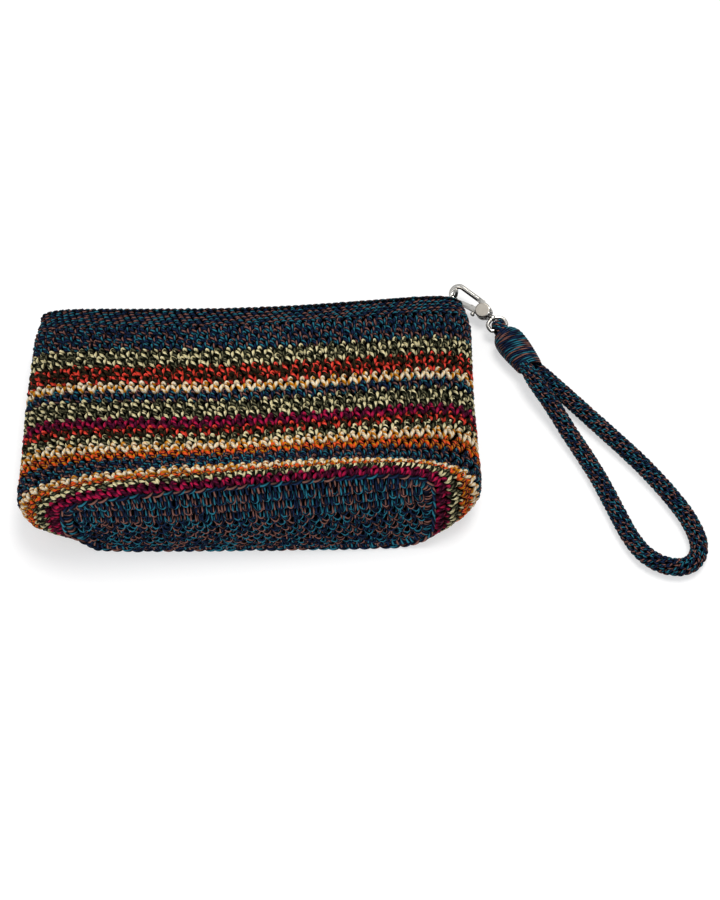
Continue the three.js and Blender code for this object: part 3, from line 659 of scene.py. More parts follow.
def add_backing(fabric, start, end):
    """The ring behind the stitches, near black as painted shade in their gaps, from one reach to another."""
    reaches = np.linspace(start, end, BACKING_STEPS)
    outer = [wall(WALL_COLUMNS, reach, BACKING_DEPTH) for reach in reaches]
    inner = [wall(WALL_COLUMNS, reach, WALL_THICKNESS) for reach in reaches[::-1]]
    ring_body(fabric, np.array(outer + inner)[:, ::-1], 1)


def make_bands():
    """The striped side: a piece of crochet for each stripe."""
    row = 0
    for number, (yarn, rounds) in enumerate(STRIPES, 1):
        fabric = Fabric()
        add_backing(fabric, row * ROW, (row + rounds) * ROW)
        for step in range(rounds):
            add_round(fabric, row + step)
        label = f"{number:02d}_{yarn}"
        add_piece(fabric, f"stitches_{label}", YARN[yarn], f"band_{label}", "pouch")
        row += rounds


# A slanting strand: how far along its line, how far across the line and how far out
SLANT_ALONG = np.array([0.0, 0.25, 0.55, 0.85, 1.1])
SLANT_ACROSS = np.array([-0.42, -0.22, 0.0, 0.22, 0.42])
SLANT_OUT = np.array([-0.4, 0.4, 0.75, 0.4, -0.4])
# The rim's lines of strands, in rows up from the last stripe, then those along its edge, by their depth
RIM_STITCHES = 132
RIM_STRAND = 0.84
RIM_BACKING_DROP = 0.4
RIM_LINES = (0.3, 0.84, 1.38, 1.92, 2.44)
RIM_SHIFT = 0.4
RIM_SLANT = 0.7
RIM_RISE_SPREAD = 0.5
RIM_EDGE_DEPTHS = (0.9, 2.3)
RIM_EDGE_DROP = 0.9
RIM_EDGE_SHIFT = 0.5
RIM_EDGE_SLANT = 1.2
RIM_EDGE_OUT = 0.6


def make_rim():
    """Lines of slanting strands round the mouth, outside, along its edge and just inside."""
    fabric = Fabric()
    start = STRIPE_ROUNDS * ROW
    add_backing(fabric, start, WALL_LENGTH - RIM_BACKING_DROP)
    first = np.arange(RIM_STITCHES)[:, None] + SLANT_ALONG
    for number, line in enumerate(RIM_LINES):
        along, up, out = cells(RIM_STITCHES)
        reach = start + (line + RIM_RISE_SPREAD * up + RIM_SLANT * SLANT_ACROSS) * ROW
        table = even_turns(start + line * ROW)
        place = first + along + RIM_SHIFT * number
        on_wall(fabric, table, place, reach, SLANT_OUT + out, RIM_STRAND, RIM_STITCHES)
    table = even_turns(WALL_LENGTH)
    for number, edge_depth in enumerate(RIM_EDGE_DEPTHS):
        along, _, _ = cells(RIM_STITCHES)
        turn = turn_at((first + along + RIM_EDGE_SHIFT * number) / RIM_STITCHES, table)
        reach = WALL_LENGTH - RIM_EDGE_DROP + RIM_EDGE_OUT * SLANT_OUT
        lines = spline(wall(turn, reach, edge_depth + RIM_EDGE_SLANT * SLANT_ACROSS), STRAND_STEPS)
        strands(fabric, lines, TO_MOUTH, RIM_STRAND, random.random(RIM_STITCHES))
    add_piece(fabric, "rim_chain", YARN["navy"], "rim_border", "pouch")


# Base panel: rows of cups and short posts, closer towards the floor, a row of posts round them, and a ridge
BASE_ROWS = 10
BASE_LOW = 0.02
BASE_HIGH = 0.88
BASE_SPREAD = 1.3
BASE_PITCH = 4.8
BASE_STRAND = 0.76
# The lowest row has thinner strands, by this share
LOW_ROW_SHARE = 0.75
BASE_BORDER = 5.2
# Painted shade on the sunk ends of the base's strands, weaker than elsewhere, and the turns of their plies
BASE_END_SHADE = 0.4
BASE_PLY_TURNS = 0.06
BASE_MIDDLE = BASE_DEPTH / (1 + BACK_FLATNESS)
BASE_RINGS = np.linspace(0, 1, 9)
# Where a row starts, in stitches, and how much further every second row does
ROW_START = 0.35
ROW_STAGGER = 0.3
CUP_ALONG = np.array([-0.5, -0.3, 0.0, 0.3, 0.5])
CUP_RISE = np.array([0.42, -0.02, -0.2, -0.02, 0.42])
# In the flat rows a second line of cups lies between the first, half a stitch along and half a row up
CUP_SHIFTS = (0.0, 0.5)
POST_RISE = np.array([-0.5, -0.28, 0.0, 0.28, 0.5])
POST_PLACES = (-0.16, 0.18, 0.5)
POST_LEAN = 0.1
POST_SINK = 0.3
FLAT_ROWS = 7
# The posts round the base, and the ridge of long dashes along its edge
POSTS = 166
POST_STRAND = 0.9
POST_INSETS = np.array([1.2, 2.1, 3.3, 4.5, 5.4])
RIDGE_STITCHES = 84
RIDGE_INSET = 0.9
RIDGE_SLANT = 0.6
RIDGE_LENGTH = 1.1
RIDGE_PROUD = 0.6


def on_base(fabric, across, level, out, radius):
    """Lays strands on the base, given where across it, at what level and how far out their points are."""
    lines = spline(base(across, level, STITCH_BED - out), STRAND_STEPS)
    lay(fabric, lines, -TO_MOUTH, radius, end_shade=BASE_END_SHADE, turns=BASE_PLY_TURNS)


def add_base_row(fabric, row):
    """A row of stitches worked flat. The flat rows have two lines of cups of yarn and two posts to a stitch,
    the rows above them one line of cups and three posts."""
    edges = np.array([row, row + 1]) / BASE_ROWS
    low, high = BASE_LOW + (BASE_HIGH - BASE_LOW) * edges ** BASE_SPREAD
    middle = (low + high) / 2
    level = level_at(middle)
    end = (1 - abs(level) ** BASE_SQUARENESS) ** (1 / BASE_SQUARENESS)
    cut = (1 - LOW_LEFT_CUT[1] * abs(level)) / LOW_LEFT_CUT[0]
    right = end * BASE_HALF_LENGTH - BASE_BORDER
    left = (min(end, cut) if level < 0 else end) * BASE_HALF_LENGTH - BASE_BORDER
    count = int((left + right) / BASE_PITCH)
    pitch = (left + right) / count
    centre = (-left + (np.arange(count) + ROW_START + ROW_STAGGER * (row % 2)) * pitch)[:, None]
    radius = BASE_STRAND * (LOW_ROW_SHARE + (1 - LOW_ROW_SHARE) * row / BASE_ROWS)
    flat = row < FLAT_ROWS
    cups = [(shift + CUP_ALONG, shift + CUP_RISE, 0.0) for shift in (CUP_SHIFTS if flat else CUP_SHIFTS[:1])]
    places = POST_PLACES[1:] if flat else POST_PLACES
    posts = [(place + POST_LEAN * POST_RISE, POST_RISE, POST_SINK) for place in places]
    for shape_along, shape_rise, sink in cups + posts:
        along, up, out = cells(count)
        across = (centre + (along + shape_along) * pitch) / BASE_HALF_LENGTH
        rise = middle + (up + shape_rise) * (high - low)
        on_base(fabric, across, level_at(rise), SLANT_OUT + out - sink, radius)


def on_base_edge(fabric, table, count, shape_along, inset, out, radius):
    """Lays a number of strands round the base at an inset from its edge, along the edge's normal. Each runs
    along the edge by shape_along, in shares of its pitch."""
    along, up, off = cells(count)
    turn = turn_at((np.arange(count)[:, None] + along + shape_along) / count, table)
    across, level = section(turn, 0.0)
    power = BASE_SQUARENESS - 1
    normal = unit(np.stack([
        np.sign(across) * np.abs(across) ** power / BASE_HALF_LENGTH,
        np.sign(level) * np.abs(level) ** power / BASE_MIDDLE,
    ], axis=-1))
    across = across - (inset + up) * normal[..., 0] / BASE_HALF_LENGTH
    level = level - (inset + up) * normal[..., 1] / BASE_MIDDLE
    on_base(fabric, across, np.maximum(level, level_at(BASE_LOW)), out + off, radius)


def make_base():
    """The base: its backing, near black as painted shade in the gaps, rows of stitches, the posts round them
    and the ridge.
    """
    fabric = Fabric()
    edge = np.array(section(WALL_COLUMNS, 0.0))
    rings = [base(*(edge * share), BACKING_DEPTH) for share in BASE_RINGS]
    rings += [base(*(edge * share), WALL_THICKNESS) for share in BASE_RINGS[::-1]]
    sheet(fabric, np.array(rings)[:, ::-1], 1)
    for row in range(BASE_ROWS):
        add_base_row(fabric, row)
    table = even_turns(0.0)
    on_base_edge(fabric, table, POSTS, np.zeros_like(POST_INSETS), POST_INSETS, SLANT_OUT, POST_STRAND)
    inset = RIDGE_INSET + RIDGE_SLANT * SLANT_ACROSS
    dash = RIDGE_LENGTH * SLANT_ALONG
    on_base_edge(fabric, table, RIDGE_STITCHES, dash, inset, SLANT_OUT + RIDGE_PROUD, LEG_RADIUS)
    add_piece(fabric, "base_stitches", YARN["navy_base_lit"], "crochet_base", "pouch", welded=True)


# Strap

# Places of the strap and snap
CORNER = np.array([MOUTH_HALF_WIDTH, MOUTH_Y, 0.0])
CLASP_HEIGHT = 6.7
HOOK_CENTRE = CORNER + np.array([-2.35, 14.1, CLASP_HEIGHT])
CLASP_ANGLE = np.radians(-44.5)
CLASP_ROLL = np.radians(22)
STIRRUP_ANGLE = np.radians(-64)
STRAP_ANGLE = np.radians(-60.8)
NECK_END = 19.8
BALL_RADIUS = 1.6
BALL_PLAY = 0.3
BALL_X = NECK_END + BALL_PLAY + BALL_RADIUS
STIRRUP_LENGTH = 6.4
CLASP_X = heading(CLASP_ANGLE)
LEVEL_SIDE = np.cross(UP, CLASP_X)
CLASP_Y = np.cos(CLASP_ROLL) * LEVEL_SIDE + np.sin(CLASP_ROLL) * UP
CLASP_Z = np.cross(CLASP_X, CLASP_Y)
BALL = HOOK_CENTRE + BALL_X * CLASP_X
STIRRUP_OUT = heading(STIRRUP_ANGLE)
STRAP_ALONG = heading(STRAP_ANGLE)
STRAP_SIDE = np.cross(STRAP_ALONG, UP)
# The middle of the stirrup's bar, where the strap starts
BAR = BALL + STIRRUP_LENGTH * STIRRUP_OUT

CORD_DIAMETER = 7.6
# Middle line of the strap's loop, from one leg to the other, measured from the mouth's right corner
CORD_ROUTE = [
    (31.8, -27.9, 4.3), (34, -31.5, 4.2), (38.8, -37.5, 3.9), (44.7, -44.6, 3.85), (52.7, -54.3, 3.85),
    (60.7, -64, 3.85), (71.6, -77.4, 3.85), (80, -88.8, 3.85), (87, -99.8, 3.85), (92, -109.2, 3.85),
    (95.1, -118.2, 3.85), (95.6, -125.4, 3.85), (93.4, -130.9, 3.85), (89.2, -133.9, 3.85),
    (84, -134.5, 3.85), (77.3, -132.4, 3.85), (70.6, -127, 3.85), (65.3, -117.6, 3.85),
    (60.3, -103.8, 3.85), (55.6, -90.4, 3.85), (50.2, -77.8, 4), (43.9, -65.2, 5), (37.9, -53.2, 7),
    (32.5, -43.4, 8.6), (28.5, -35.8, 9.1), (26.3, -30.9, 9.1),
]
ROUTE_STEPS = 12
# The cord's core, how far its ends run on inside the whipping, and how much the whipping squeezes them
CORD_CORE = 2.75
CORD_CORE_SIDES = 16
CORD_CORE_RINGS = 180
CORD_TUCK = 4.0
CORD_SQUEEZE = 0.26
CORD_SQUEEZE_REACH = 10.0
# The cord's stitches: a leg's length in pitches, its spread in columns, its start and how far it stands out,
# and how the columns wind round the cord from row to row
CORD_COLUMNS = 8
CORD_PITCH = 2.6
CORD_STRAND = 0.74
CORD_PROUD = 0.05
CORD_JITTER = 0.05
CORD_END_ROOM = 1.0
CORD_LEG_LENGTH = 1.15
CORD_LEG_SPREAD = 1.2
CORD_LEG_START = 0.2
CORD_LEG_OUT = 0.35
CORD_WIND = 0.03


def add_core(fabric, at, places, radii, sides):
    """A core along part of the strap, near black as painted shade, closed at both ends. at puts points at
    places, angles and radii.
    """
    around, along = np.meshgrid(np.linspace(0, TAU, sides, endpoint=False), places)
    radius = np.full_like(around, radii)
    radius[[0, -1]] = 0
    sheet(fabric, at(along, around, radius)[0][:, ::-1], 1)


def make_cord():
    """The crocheted cord: columns of small V stitches round a core that is near black as painted shade, along
    the loop.
    """
    route = np.array(CORD_ROUTE)
    first = route[0] + CORD_TUCK * unit(route[0] - route[1])
    last = route[-1] + CORD_TUCK * unit(route[-1] - route[-2])
    path = CORNER + spline(np.concatenate([[first], route, [last]]), ROUTE_STEPS)
    lengths = path_lengths(path)
    whole = lengths[-1]
    tangents = unit(np.gradient(path, axis=0))
    sides = unit(np.cross(tangents, UP))
    ups = np.cross(sides, tangents)
    fabric = Fabric()

    def at(place, angle, radius):
        middle, side, up = (pick(table, lengths, place) for table in (path, sides, ups))
        outward = np.cos(angle)[..., None] * side + np.sin(angle)[..., None] * up
        from_end = np.minimum(place, whole - place) - CORD_TUCK
        snug = 1 - CORD_SQUEEZE * (1 - smooth(from_end / CORD_SQUEEZE_REACH))
        return middle + (radius * snug)[..., None] * outward, outward

    add_core(fabric, at, np.linspace(0, whole, CORD_CORE_RINGS), CORD_CORE, CORD_CORE_SIDES)
    rows = int((whole - CORD_END_ROOM) / CORD_PITCH)
    row, column = np.divmod(np.arange(rows * CORD_COLUMNS), CORD_COLUMNS)
    step = TAU / CORD_COLUMNS
    for side in (-1, 1):
        jitter = random.normal(0, CORD_JITTER, (len(row), 2))
        leg = (LEG_RISE + CORD_LEG_START) * CORD_LEG_LENGTH
        place = ((row + jitter[:, 0])[:, None] + leg) * CORD_PITCH
        angle = (column + 0.5 * (row % 2) + jitter[:, 1])[:, None] + side * LEG_SPREAD * CORD_LEG_SPREAD
        angle = angle * step + row[:, None] * CORD_WIND
        radius = CORD_DIAMETER / 2 - CORD_STRAND + CORD_PROUD + CORD_LEG_OUT * LEG_OUT
        points, outward = at(np.clip(place, 0, whole), angle, radius)
        lay(fabric, spline(points, STRAND_STEPS), spline(outward, STRAND_STEPS), CORD_STRAND)
    cord = add_piece(
        fabric, "strap_cord_stitches", YARN["navy"], "strap_cord", "strap", welded=True)
    return cord, path, whole


# Whipping round both legs of the cord: its turns, how they lean, and its spindle's radii along its length
WRAP_LENGTH = 20.7
WRAP_START = 4.6
WRAP_TURNS = 20
WRAP_STEPS = 22
WRAP_STRAND = 0.64
WRAP_SINK = 0.92
WRAP_TURN_LENGTH = 1.04
WRAP_OVER = 0.8
WRAP_LEAN = 3.3
WRAP_LEAN_TURN = 1.28
WRAP_LEAN_ROOM = 0.3
WRAP_LEAN_FAR = 0.5
WRAP_FLATTEN = 0.87
WRAP_PLACES = np.array([-0.06, 0.0, 0.1, 0.3, 0.65, 1.0, 1.1])
WRAP_RADII = np.array([4.9, 5.7, 6.95, 7.5, 7.05, 6.1, 5.6])
WRAP_CURVE = spline(np.stack([WRAP_PLACES, WRAP_RADII], axis=-1), steps=10)
WRAP_CORE_DEPTH = 1.3
WRAP_CORE_SIDES = 24
WRAP_CORE_RINGS = 16


def wrap_radius(place):
    """The whipping's spindle: its radius at a share of its length."""
    return np.interp(place, WRAP_CURVE[:, 0], WRAP_CURVE[:, 1])


def make_whipping():
    """One strand wound close round a spindle, its turns leaning along the strap by a sine of the angle, and a
    core, near black as painted shade between the turns."""
    fabric = Fabric()

    def at(place, angle, radius):
        outward = np.cos(angle)[..., None] * STRAP_SIDE + WRAP_FLATTEN * np.sin(angle)[..., None] * UP
        return BAR + (WRAP_START + place)[..., None] * STRAP_ALONG + radius[..., None] * outward, outward

    share = np.linspace(0, 1, WRAP_CORE_RINGS)
    radii = wrap_radius(share)[:, None] - WRAP_CORE_DEPTH
    add_core(fabric, at, share * WRAP_LENGTH, radii, WRAP_CORE_SIDES)
    wound = np.arange(WRAP_TURNS)[:, None] + np.linspace(0, WRAP_TURN_LENGTH, WRAP_STEPS)
    angle = TAU * wound
    straight = (WRAP_LENGTH + 2 * WRAP_OVER) * wound / WRAP_TURNS - WRAP_OVER
    share = straight / WRAP_LENGTH
    room = smooth(share / WRAP_LEAN_ROOM)
    room = room * (1 - WRAP_LEAN_FAR * smooth((share - 1 + WRAP_LEAN_ROOM) / WRAP_LEAN_ROOM))
    place = straight + WRAP_LEAN * room * np.sin(angle - WRAP_LEAN_TURN)
    lines, outward = at(place, angle, wrap_radius(place / WRAP_LENGTH) - WRAP_STRAND * WRAP_SINK)
    strands(fabric, lines, outward, WRAP_STRAND, random.random(WRAP_TURNS), turns=WRAP_PLY_TURNS, **EVEN)
    return add_piece(fabric, "whipping_turns", YARN["navy"], "whipping", "strap", welded=True)


# The eye's layers of loops: how many lie side by side, their radius round the bar and how far their tails run
EYE_LAYERS = [(4, 2.12, 6.5), (3, 3.3, 7.5)]
EYE_STRAND = 0.86
EYE_SPACING = 1.38
EYE_PHASES = 0.7
EYE_STEPS = 17


def make_eye():
    """Yarn loops side by side in two layers, out of the whipping, round the stirrup's bar and back."""
    fabric = Fabric()
    for count, radius, reach in EYE_LAYERS:
        bend = radius * arc(0.5, 1.5, EYE_STEPS)
        tail = np.array([(reach, radius), (reach / 2, radius)])
        flat = np.concatenate([tail, bend, tail[::-1] * (1, -1)])
        offset = (np.arange(count) - (count - 1) / 2) * EYE_SPACING
        middle = BAR + offset[:, None, None] * STRAP_SIDE
        lines = middle + flat[:, :1] * STRAP_ALONG + flat[:, 1:] * UP
        outward = lines - middle - np.maximum(flat[:, :1], 0) * STRAP_ALONG
        strands(fabric, lines, outward, EYE_STRAND, radius + np.linspace(0, EYE_PHASES, count), **EVEN)
    return add_piece(fabric, "eye_loops", YARN["navy"], "strap_eye", "strap")


# Snap, ring and tab
HOOK_WIRE = 2.6
HOOK_BOW = 3.4
HOOK_BAR = 13.0
HOOK_BAR_END = 0.4
HOOK_NOSE = 1.2
HOOK_BAR_STEPS = 14
HOOK_BOW_STEPS = 30
BOSS_RADIUS = 3.75
BOSS_DISTANCE = 15.8
BOSS_TOP = 2.8
BOSS_SHOULDER = BOSS_TOP - 0.1
SLOT_HALF = 1.3
# The hook's shoulder: distance along the snap, middle and half sizes of its rounded square section
SHOULDER_SIDES = 24
SHOULDER = [
    (9.6, 3.4, 0, 0), (9.6, 3.4, 0.9, 0.9), (10.6, 3.35, 1.25, 1.4), (12.2, 3.1, 1.35, 2.2),
    (13.8, 2.8, 1.3, BOSS_SHOULDER), (18.0, 2.3, 1.2, BOSS_SHOULDER), (19.2, 2.0, 0.9, 2.2),
    (19.2, 2.0, 0, 0),
]
# Turned outlines, by distance along their axis and radius: a boss disc's side and face, and the swivel's neck
BOSS_SIDE = [
    (SLOT_HALF, 0), (SLOT_HALF, BOSS_RADIUS - 0.2), (SLOT_HALF + 0.2, BOSS_RADIUS),
    (BOSS_TOP - 0.5, BOSS_RADIUS), (BOSS_SHOULDER, BOSS_RADIUS - 0.35),
]
BOSS_FACE = [
    (BOSS_SHOULDER, BOSS_RADIUS - 0.35), (BOSS_TOP, BOSS_RADIUS - 0.6), (BOSS_TOP, BOSS_RADIUS - 0.75),
    (BOSS_TOP, 0),
]
NECK = [
    (16.4, 0), (16.4, 2.3), (17.6, 2.75), (NECK_END - 1.5, 2.75), (NECK_END - 1.3, 2.5),
    (NECK_END - 1.1, 2.5), (NECK_END - 0.9, 2.75), (NECK_END - 0.3, 2.75), (NECK_END, 2.4), (NECK_END, 0),
]
# The gate: its tip and round root, and the ends of its lower and upper side
GATE_HALF = 1.0
GATE_OFFSET = 0.6
GATE_ROOT = 1.5
GATE_ROOT_ARC = (-0.35, 0.55)
GATE_TIP = 0.95
GATE_TIP_X = 2.75
GATE_UNDER = ((4.5, -4.1), (13.9, -3.1))
GATE_OVER = ((13.5, 0.35), (4.5, -1.8))
# The gate's eased edges: heights and how far its outline is drawn in there, up to its middle at both ends
TO_MIDDLE = 99
GATE_HEIGHTS = (-GATE_HALF, -GATE_HALF, -GATE_HALF + 0.25, GATE_HALF - 0.5, GATE_HALF, GATE_HALF)
GATE_INSETS = (TO_MIDDLE, 0.3, 0, 0, 0.55, TO_MIDDLE)
# The gate's thumb knob: where it starts, and distances out and radii of its turned outline
THUMB_PLACE = (12.4, -2.8, 0)
THUMB_KNOB = [(0, 0), (0, 0.7), (0.8, 0.7), (1.0, 1.1), (1.5, 1.2), (2.0, 1.05), (2.25, 0.6), (2.3, 0)]
PIN_RADIUS = 0.8
PIN_END = BOSS_TOP - 0.03
STIRRUP_HALF_WIDTH = 4.4
STIRRUP_WIRE = 2.0
STIRRUP_STEPS = 8
# One arm of the stirrup, in shares of its length and half width
STIRRUP_ARM = [(0, 0.08), (0.12, 0.45), (0.36, 0.92), (0.78, 1), (1, 0.78)]
POST = [(-3.6, 0), (-3.6, 0.95), (0, 0.95), (0, 0)]
RING_RADIUS = 5.0
RING_WIRE = 1.6
WIRE_END_STEPS = 6
# A direction up and back, the part of a normal along it up to which plated metal gets painted shade and dark
# reflection, that from which it is bright, and how dark that painted shade is
LIT_SIDE = np.array([0.0, 0.45, 0.89])
SHADED_UP_TO = 0.0
LIT_FROM = 0.5
METAL_PAINTED_SHADE = 0.04
# Marks of wear: scales and turns of two sets of scratches, their depth in metres, and the scale of patches
# and what they change
SCRATCHES = [((6000, 300, 900), 0.6), ((350, 7000, 900), -0.5)]
SCRATCH_DEPTH = 0.00001
SCRATCH_STRENGTH = 0.4
PATCH_SCALE = 420.0
PATCH_DETAIL = 3.0
PATCH_SHADE = (0.22, 0.86)
PATCH_DULL = 0.5


def in_clasp(points):
    """Points of the snap's own frame, in the object's."""
    points = np.asarray(points, float)
    return HOOK_CENTRE + points[..., :1] * CLASP_X + points[..., 1:2] * CLASP_Y + points[..., 2:] * CLASP_Z


def wire(fabric, path, normal, radius, closed=False, sides=16):
    """A round wire: a circle carried along a flat path, with its free ends closed by a half ball."""
    path = np.asarray(path, float)
    radii = np.full(len(path), radius)
    if closed:
        tangent = unit(np.roll(path, -1, axis=0) - np.roll(path, 1, axis=0))
    else:
        tangent = unit(np.gradient(path, axis=0))
        bow = np.linspace(0, np.pi / 2, WIRE_END_STEPS + 1)[1:]
        start = path[0] - tangent[0] * radius * np.sin(bow)[::-1, None]
        end = path[-1] + tangent[-1] * radius * np.sin(bow)[:, None]
        path = np.concatenate([start, path, end])
        radii = np.concatenate([radius * np.cos(bow)[::-1], radii, radius * np.cos(bow)])
        tangent = np.pad(tangent, ((WIRE_END_STEPS, WIRE_END_STEPS), (0, 0)), "edge")
    side = unit(np.cross(tangent, normal))
    cosine, sine = circle_ring(sides)
    around = cosine[None, :, None] * normal + sine[None, :, None] * side[:, None, :]
    rings = path[:, None, :] + radii[:, None, None] * around
    if closed:
        ring_body(fabric, rings, 0)
    else:
        sheet(fabric, rings, 0)


def lathe(fabric, profile, origin, axis, side, sides=40, slot=0):
    """A turned piece: a profile of distances along an axis and radii, carried round the axis."""
    place, radius = np.array(profile, float).T
    cosine, sine = circle_ring(sides)
    around = cosine[:, None] * side + sine[:, None] * np.cross(axis, side)
    sheet(fabric, origin + place[:, None, None] * axis + radius[:, None, None] * around, slot)


def loft_plate(fabric, outline, heights, insets, place):
    """A plate with eased edges: its outline, drawn in by an inset at each height and closed at both ends in
    its middle. place puts points of the plate's own frame in the object's."""
    middle = outline.mean(axis=0)
    arm = outline - middle
    length = np.linalg.norm(arm, axis=1, keepdims=True)
    rings = []
    for height, inset in zip(heights, insets):
        flat = middle + arm * np.maximum(0, 1 - inset / length)
        rings.append(points_at(flat[:, 0], flat[:, 1], height))
    sheet(fabric, place(np.array(rings)), 0)


def metal_piece(fabric, name, node, body):
    """A finished piece of hardware. Each point is proud by how far its normal turns to the lit side, and the
    less proud it is, the more painted shade and dark reflection it gets.
    """
    obj = add_piece(fabric, name, [NICKEL, SATIN], node, body, welded=True, sharp=True)
    normals = np.empty(3 * len(obj.data.vertices), np.float32)
    obj.data.vertices.foreach_get("normal", normals)
    proud = smooth((normals.reshape(-1, 3) @ LIT_SIDE - SHADED_UP_TO) / (LIT_FROM - SHADED_UP_TO))
    obj.data.attributes["proud"].data.foreach_set("value", proud.astype(np.float32))


def make_wear_and_shade_group():
    """Handling marks on plated metal: fine scratches along two slants and slow patches of dullness; and
    painted shade and dark reflection on its undersides."""
    tree, given, put = new_group("metal_wear_and_shade", ["Place"], ["Proud"], ["Shade", "Dull", "Height"])
    first, second = (noise(tree, stretched(tree, given["Place"], *slant), 1.0) for slant in SCRATCHES)
    scratches = math_node(tree, "MULTIPLY", first, second)
    patches = noise(tree, given["Place"], PATCH_SCALE, PATCH_DETAIL)
    under = ranged(tree, given["Proud"], 1 - METAL_PAINTED_SHADE, METAL_PAINTED_SHADE)
    shade = math_node(tree, "MULTIPLY", ranged(tree, patches, *PATCH_SHADE), under)
    dull = ranged(tree, patches, PATCH_DULL, scratches)
    feed(tree, put, {"Shade": shade, "Dull": dull, "Height": scratches})
    return tree


def metal_material(name, code, dull_low, dull_span, undersides=True):
    """Plated metal, as rough as dull_low where it is bright and rougher by a span where it is worn. Its
    undersides get painted shade and dark reflection where the mesh says how proud each point is."""
    material, tree, shader = new_material(name)
    inputs = {"Place": place_in(tree), "Proud": proud_in(tree) if undersides else 1.0}
    wear = add_node(tree, "ShaderNodeGroup", inputs, node_tree=WEAR_AND_SHADE).outputs
    normal = bump(tree, wear["Height"], SCRATCH_DEPTH, SCRATCH_STRENGTH)
    others = {"Roughness": ranged(tree, wear["Dull"], dull_span, dull_low), "Metallic": 1.0}
    finish_surface(tree, shader, linear(code), wear["Shade"], normal, others)
    return material


WEAR_AND_SHADE = make_wear_and_shade_group()
NICKEL = metal_material("nickel", "#dcd8d0", 0.08, 0.14)
SATIN = metal_material("nickel_satin", "#aea89e", 0.36, 0.2)
ZIP_NICKEL = metal_material("nickel_zip", "#d2cec6", 0.16, 0.2, undersides=False)


def make_hook():
    """The snap's hook: a wire bow, a shoulder that grows into the boss's two discs, and the swivel's neck."""
    fabric = Fabric()
    straight = points_at(np.linspace(HOOK_BAR, HOOK_BAR_END, HOOK_BAR_STEPS), HOOK_BOW, 0)
    bow_x, bow_y = HOOK_BOW * arc(0.5, 1.5, HOOK_BOW_STEPS).T
    bow = points_at(bow_x, bow_y, 0)
    nose = [[HOOK_NOSE / 2, -HOOK_BOW, 0], [HOOK_NOSE, -HOOK_BOW, 0]]
    wire(fabric, in_clasp(np.concatenate([straight, bow, nose])), CLASP_Z, HOOK_WIRE / 2)
    square_y, square_z = rounded_square(SHOULDER_SIDES).T
    rings = [points_at(x, middle + y * square_y, z * square_z) for x, middle, y, z in SHOULDER]
    sheet(fabric, in_clasp(rings), 0)
    boss = in_clasp([BOSS_DISTANCE, 0, 0])
    for axis in (CLASP_Z, -CLASP_Z):
        lathe(fabric, BOSS_SIDE, boss, axis, CLASP_X)
        lathe(fabric, BOSS_FACE, boss, axis, CLASP_X, slot=1)
    lathe(fabric, NECK, HOOK_CENTRE, CLASP_X, CLASP_Y)
    metal_piece(fabric, "hook_body", "snap_hook", "hook")


def make_gate():
    """The gate: a wedge that narrows from its round root to its tip in the hook's nose, with a small thumb
    knob."""
    outline = np.concatenate([
        (GATE_TIP_X, -HOOK_BOW) + GATE_TIP * arc(0.5, 1.5, steps=9),
        np.linspace(*GATE_UNDER, num=8),
        (BOSS_DISTANCE, -GATE_OFFSET) + GATE_ROOT * arc(*GATE_ROOT_ARC, steps=14),
        np.linspace(*GATE_OVER, num=8),
    ])
    fabric = Fabric()
    loft_plate(fabric, outline, GATE_HEIGHTS, GATE_INSETS, in_clasp)
    lathe(fabric, THUMB_KNOB, in_clasp(THUMB_PLACE), -CLASP_Y, CLASP_X, sides=24)
    metal_piece(fabric, "gate_wedge", "snap_gate", "gate")


def make_pin():
    """The gate's pin, ground flush with the boss's two discs."""
    fabric = Fabric()
    profile = [(-PIN_END, 0), (-PIN_END, PIN_RADIUS), (PIN_END, PIN_RADIUS), (PIN_END, 0)]
    lathe(fabric, profile, in_clasp([BOSS_DISTANCE, -GATE_OFFSET, 0]), CLASP_Z, CLASP_X, sides=20)
    metal_piece(fabric, "pin_rivet", "gate_pin", "hook")


def make_stirrup():
    """The swivel: a post in the hook's neck, a ball, and a bow of wire whose far side is the strap's bar."""
    fabric = Fabric()
    lathe(fabric, POST, BALL, CLASP_X, UP, sides=20)
    lathe(fabric, BALL_RADIUS * arc(1, 0, steps=15), BALL, CLASP_X, UP, sides=24)
    across = np.cross(UP, STIRRUP_OUT)
    shares = np.array(STIRRUP_ARM + [(1, 0)] + [(length, -width) for length, width in STIRRUP_ARM[::-1]])
    bow = BALL + STIRRUP_LENGTH * shares[:, :1] * STIRRUP_OUT + STIRRUP_HALF_WIDTH * shares[:, 1:] * across
    wire(fabric, spline(bow, STIRRUP_STEPS), UP, STIRRUP_WIRE / 2)
    metal_piece(fabric, "stirrup_bow", "stirrup", "swivel")


# The ring: its play in the hook's bow, and where it stands between the hook and the tab
RING_PLAY = 0.3
RING_SEAT = HOOK_BOW - HOOK_WIRE / 2 - RING_WIRE / 2 - RING_PLAY
TAB_INSET = 8.3
TAB_X = CORNER[0] - TAB_INSET
RING_FAR = HOOK_CENTRE - RING_SEAT * CLASP_X
RING_LEAN = np.arcsin((RING_FAR[0] - TAB_X) / (2 * RING_RADIUS))
RING_OUT = np.array([np.sin(RING_LEAN), np.cos(RING_LEAN), 0])
RING_CENTRE = RING_FAR - RING_RADIUS * RING_OUT
RING_NEAR = RING_FAR - 2 * RING_RADIUS * RING_OUT


def make_ring():
    """The ring on edge between the tab's loops and the hook."""
    fabric = Fabric()
    cosine, sine = circle_ring(sides=56)
    path = RING_CENTRE + RING_RADIUS * (cosine[:, None] * RING_OUT + sine[:, None] * UP)
    wire(fabric, path, np.cross(RING_OUT, UP), RING_WIRE / 2, closed=True)
    metal_piece(fabric, "ring_wire", "anchor_ring", "ring")


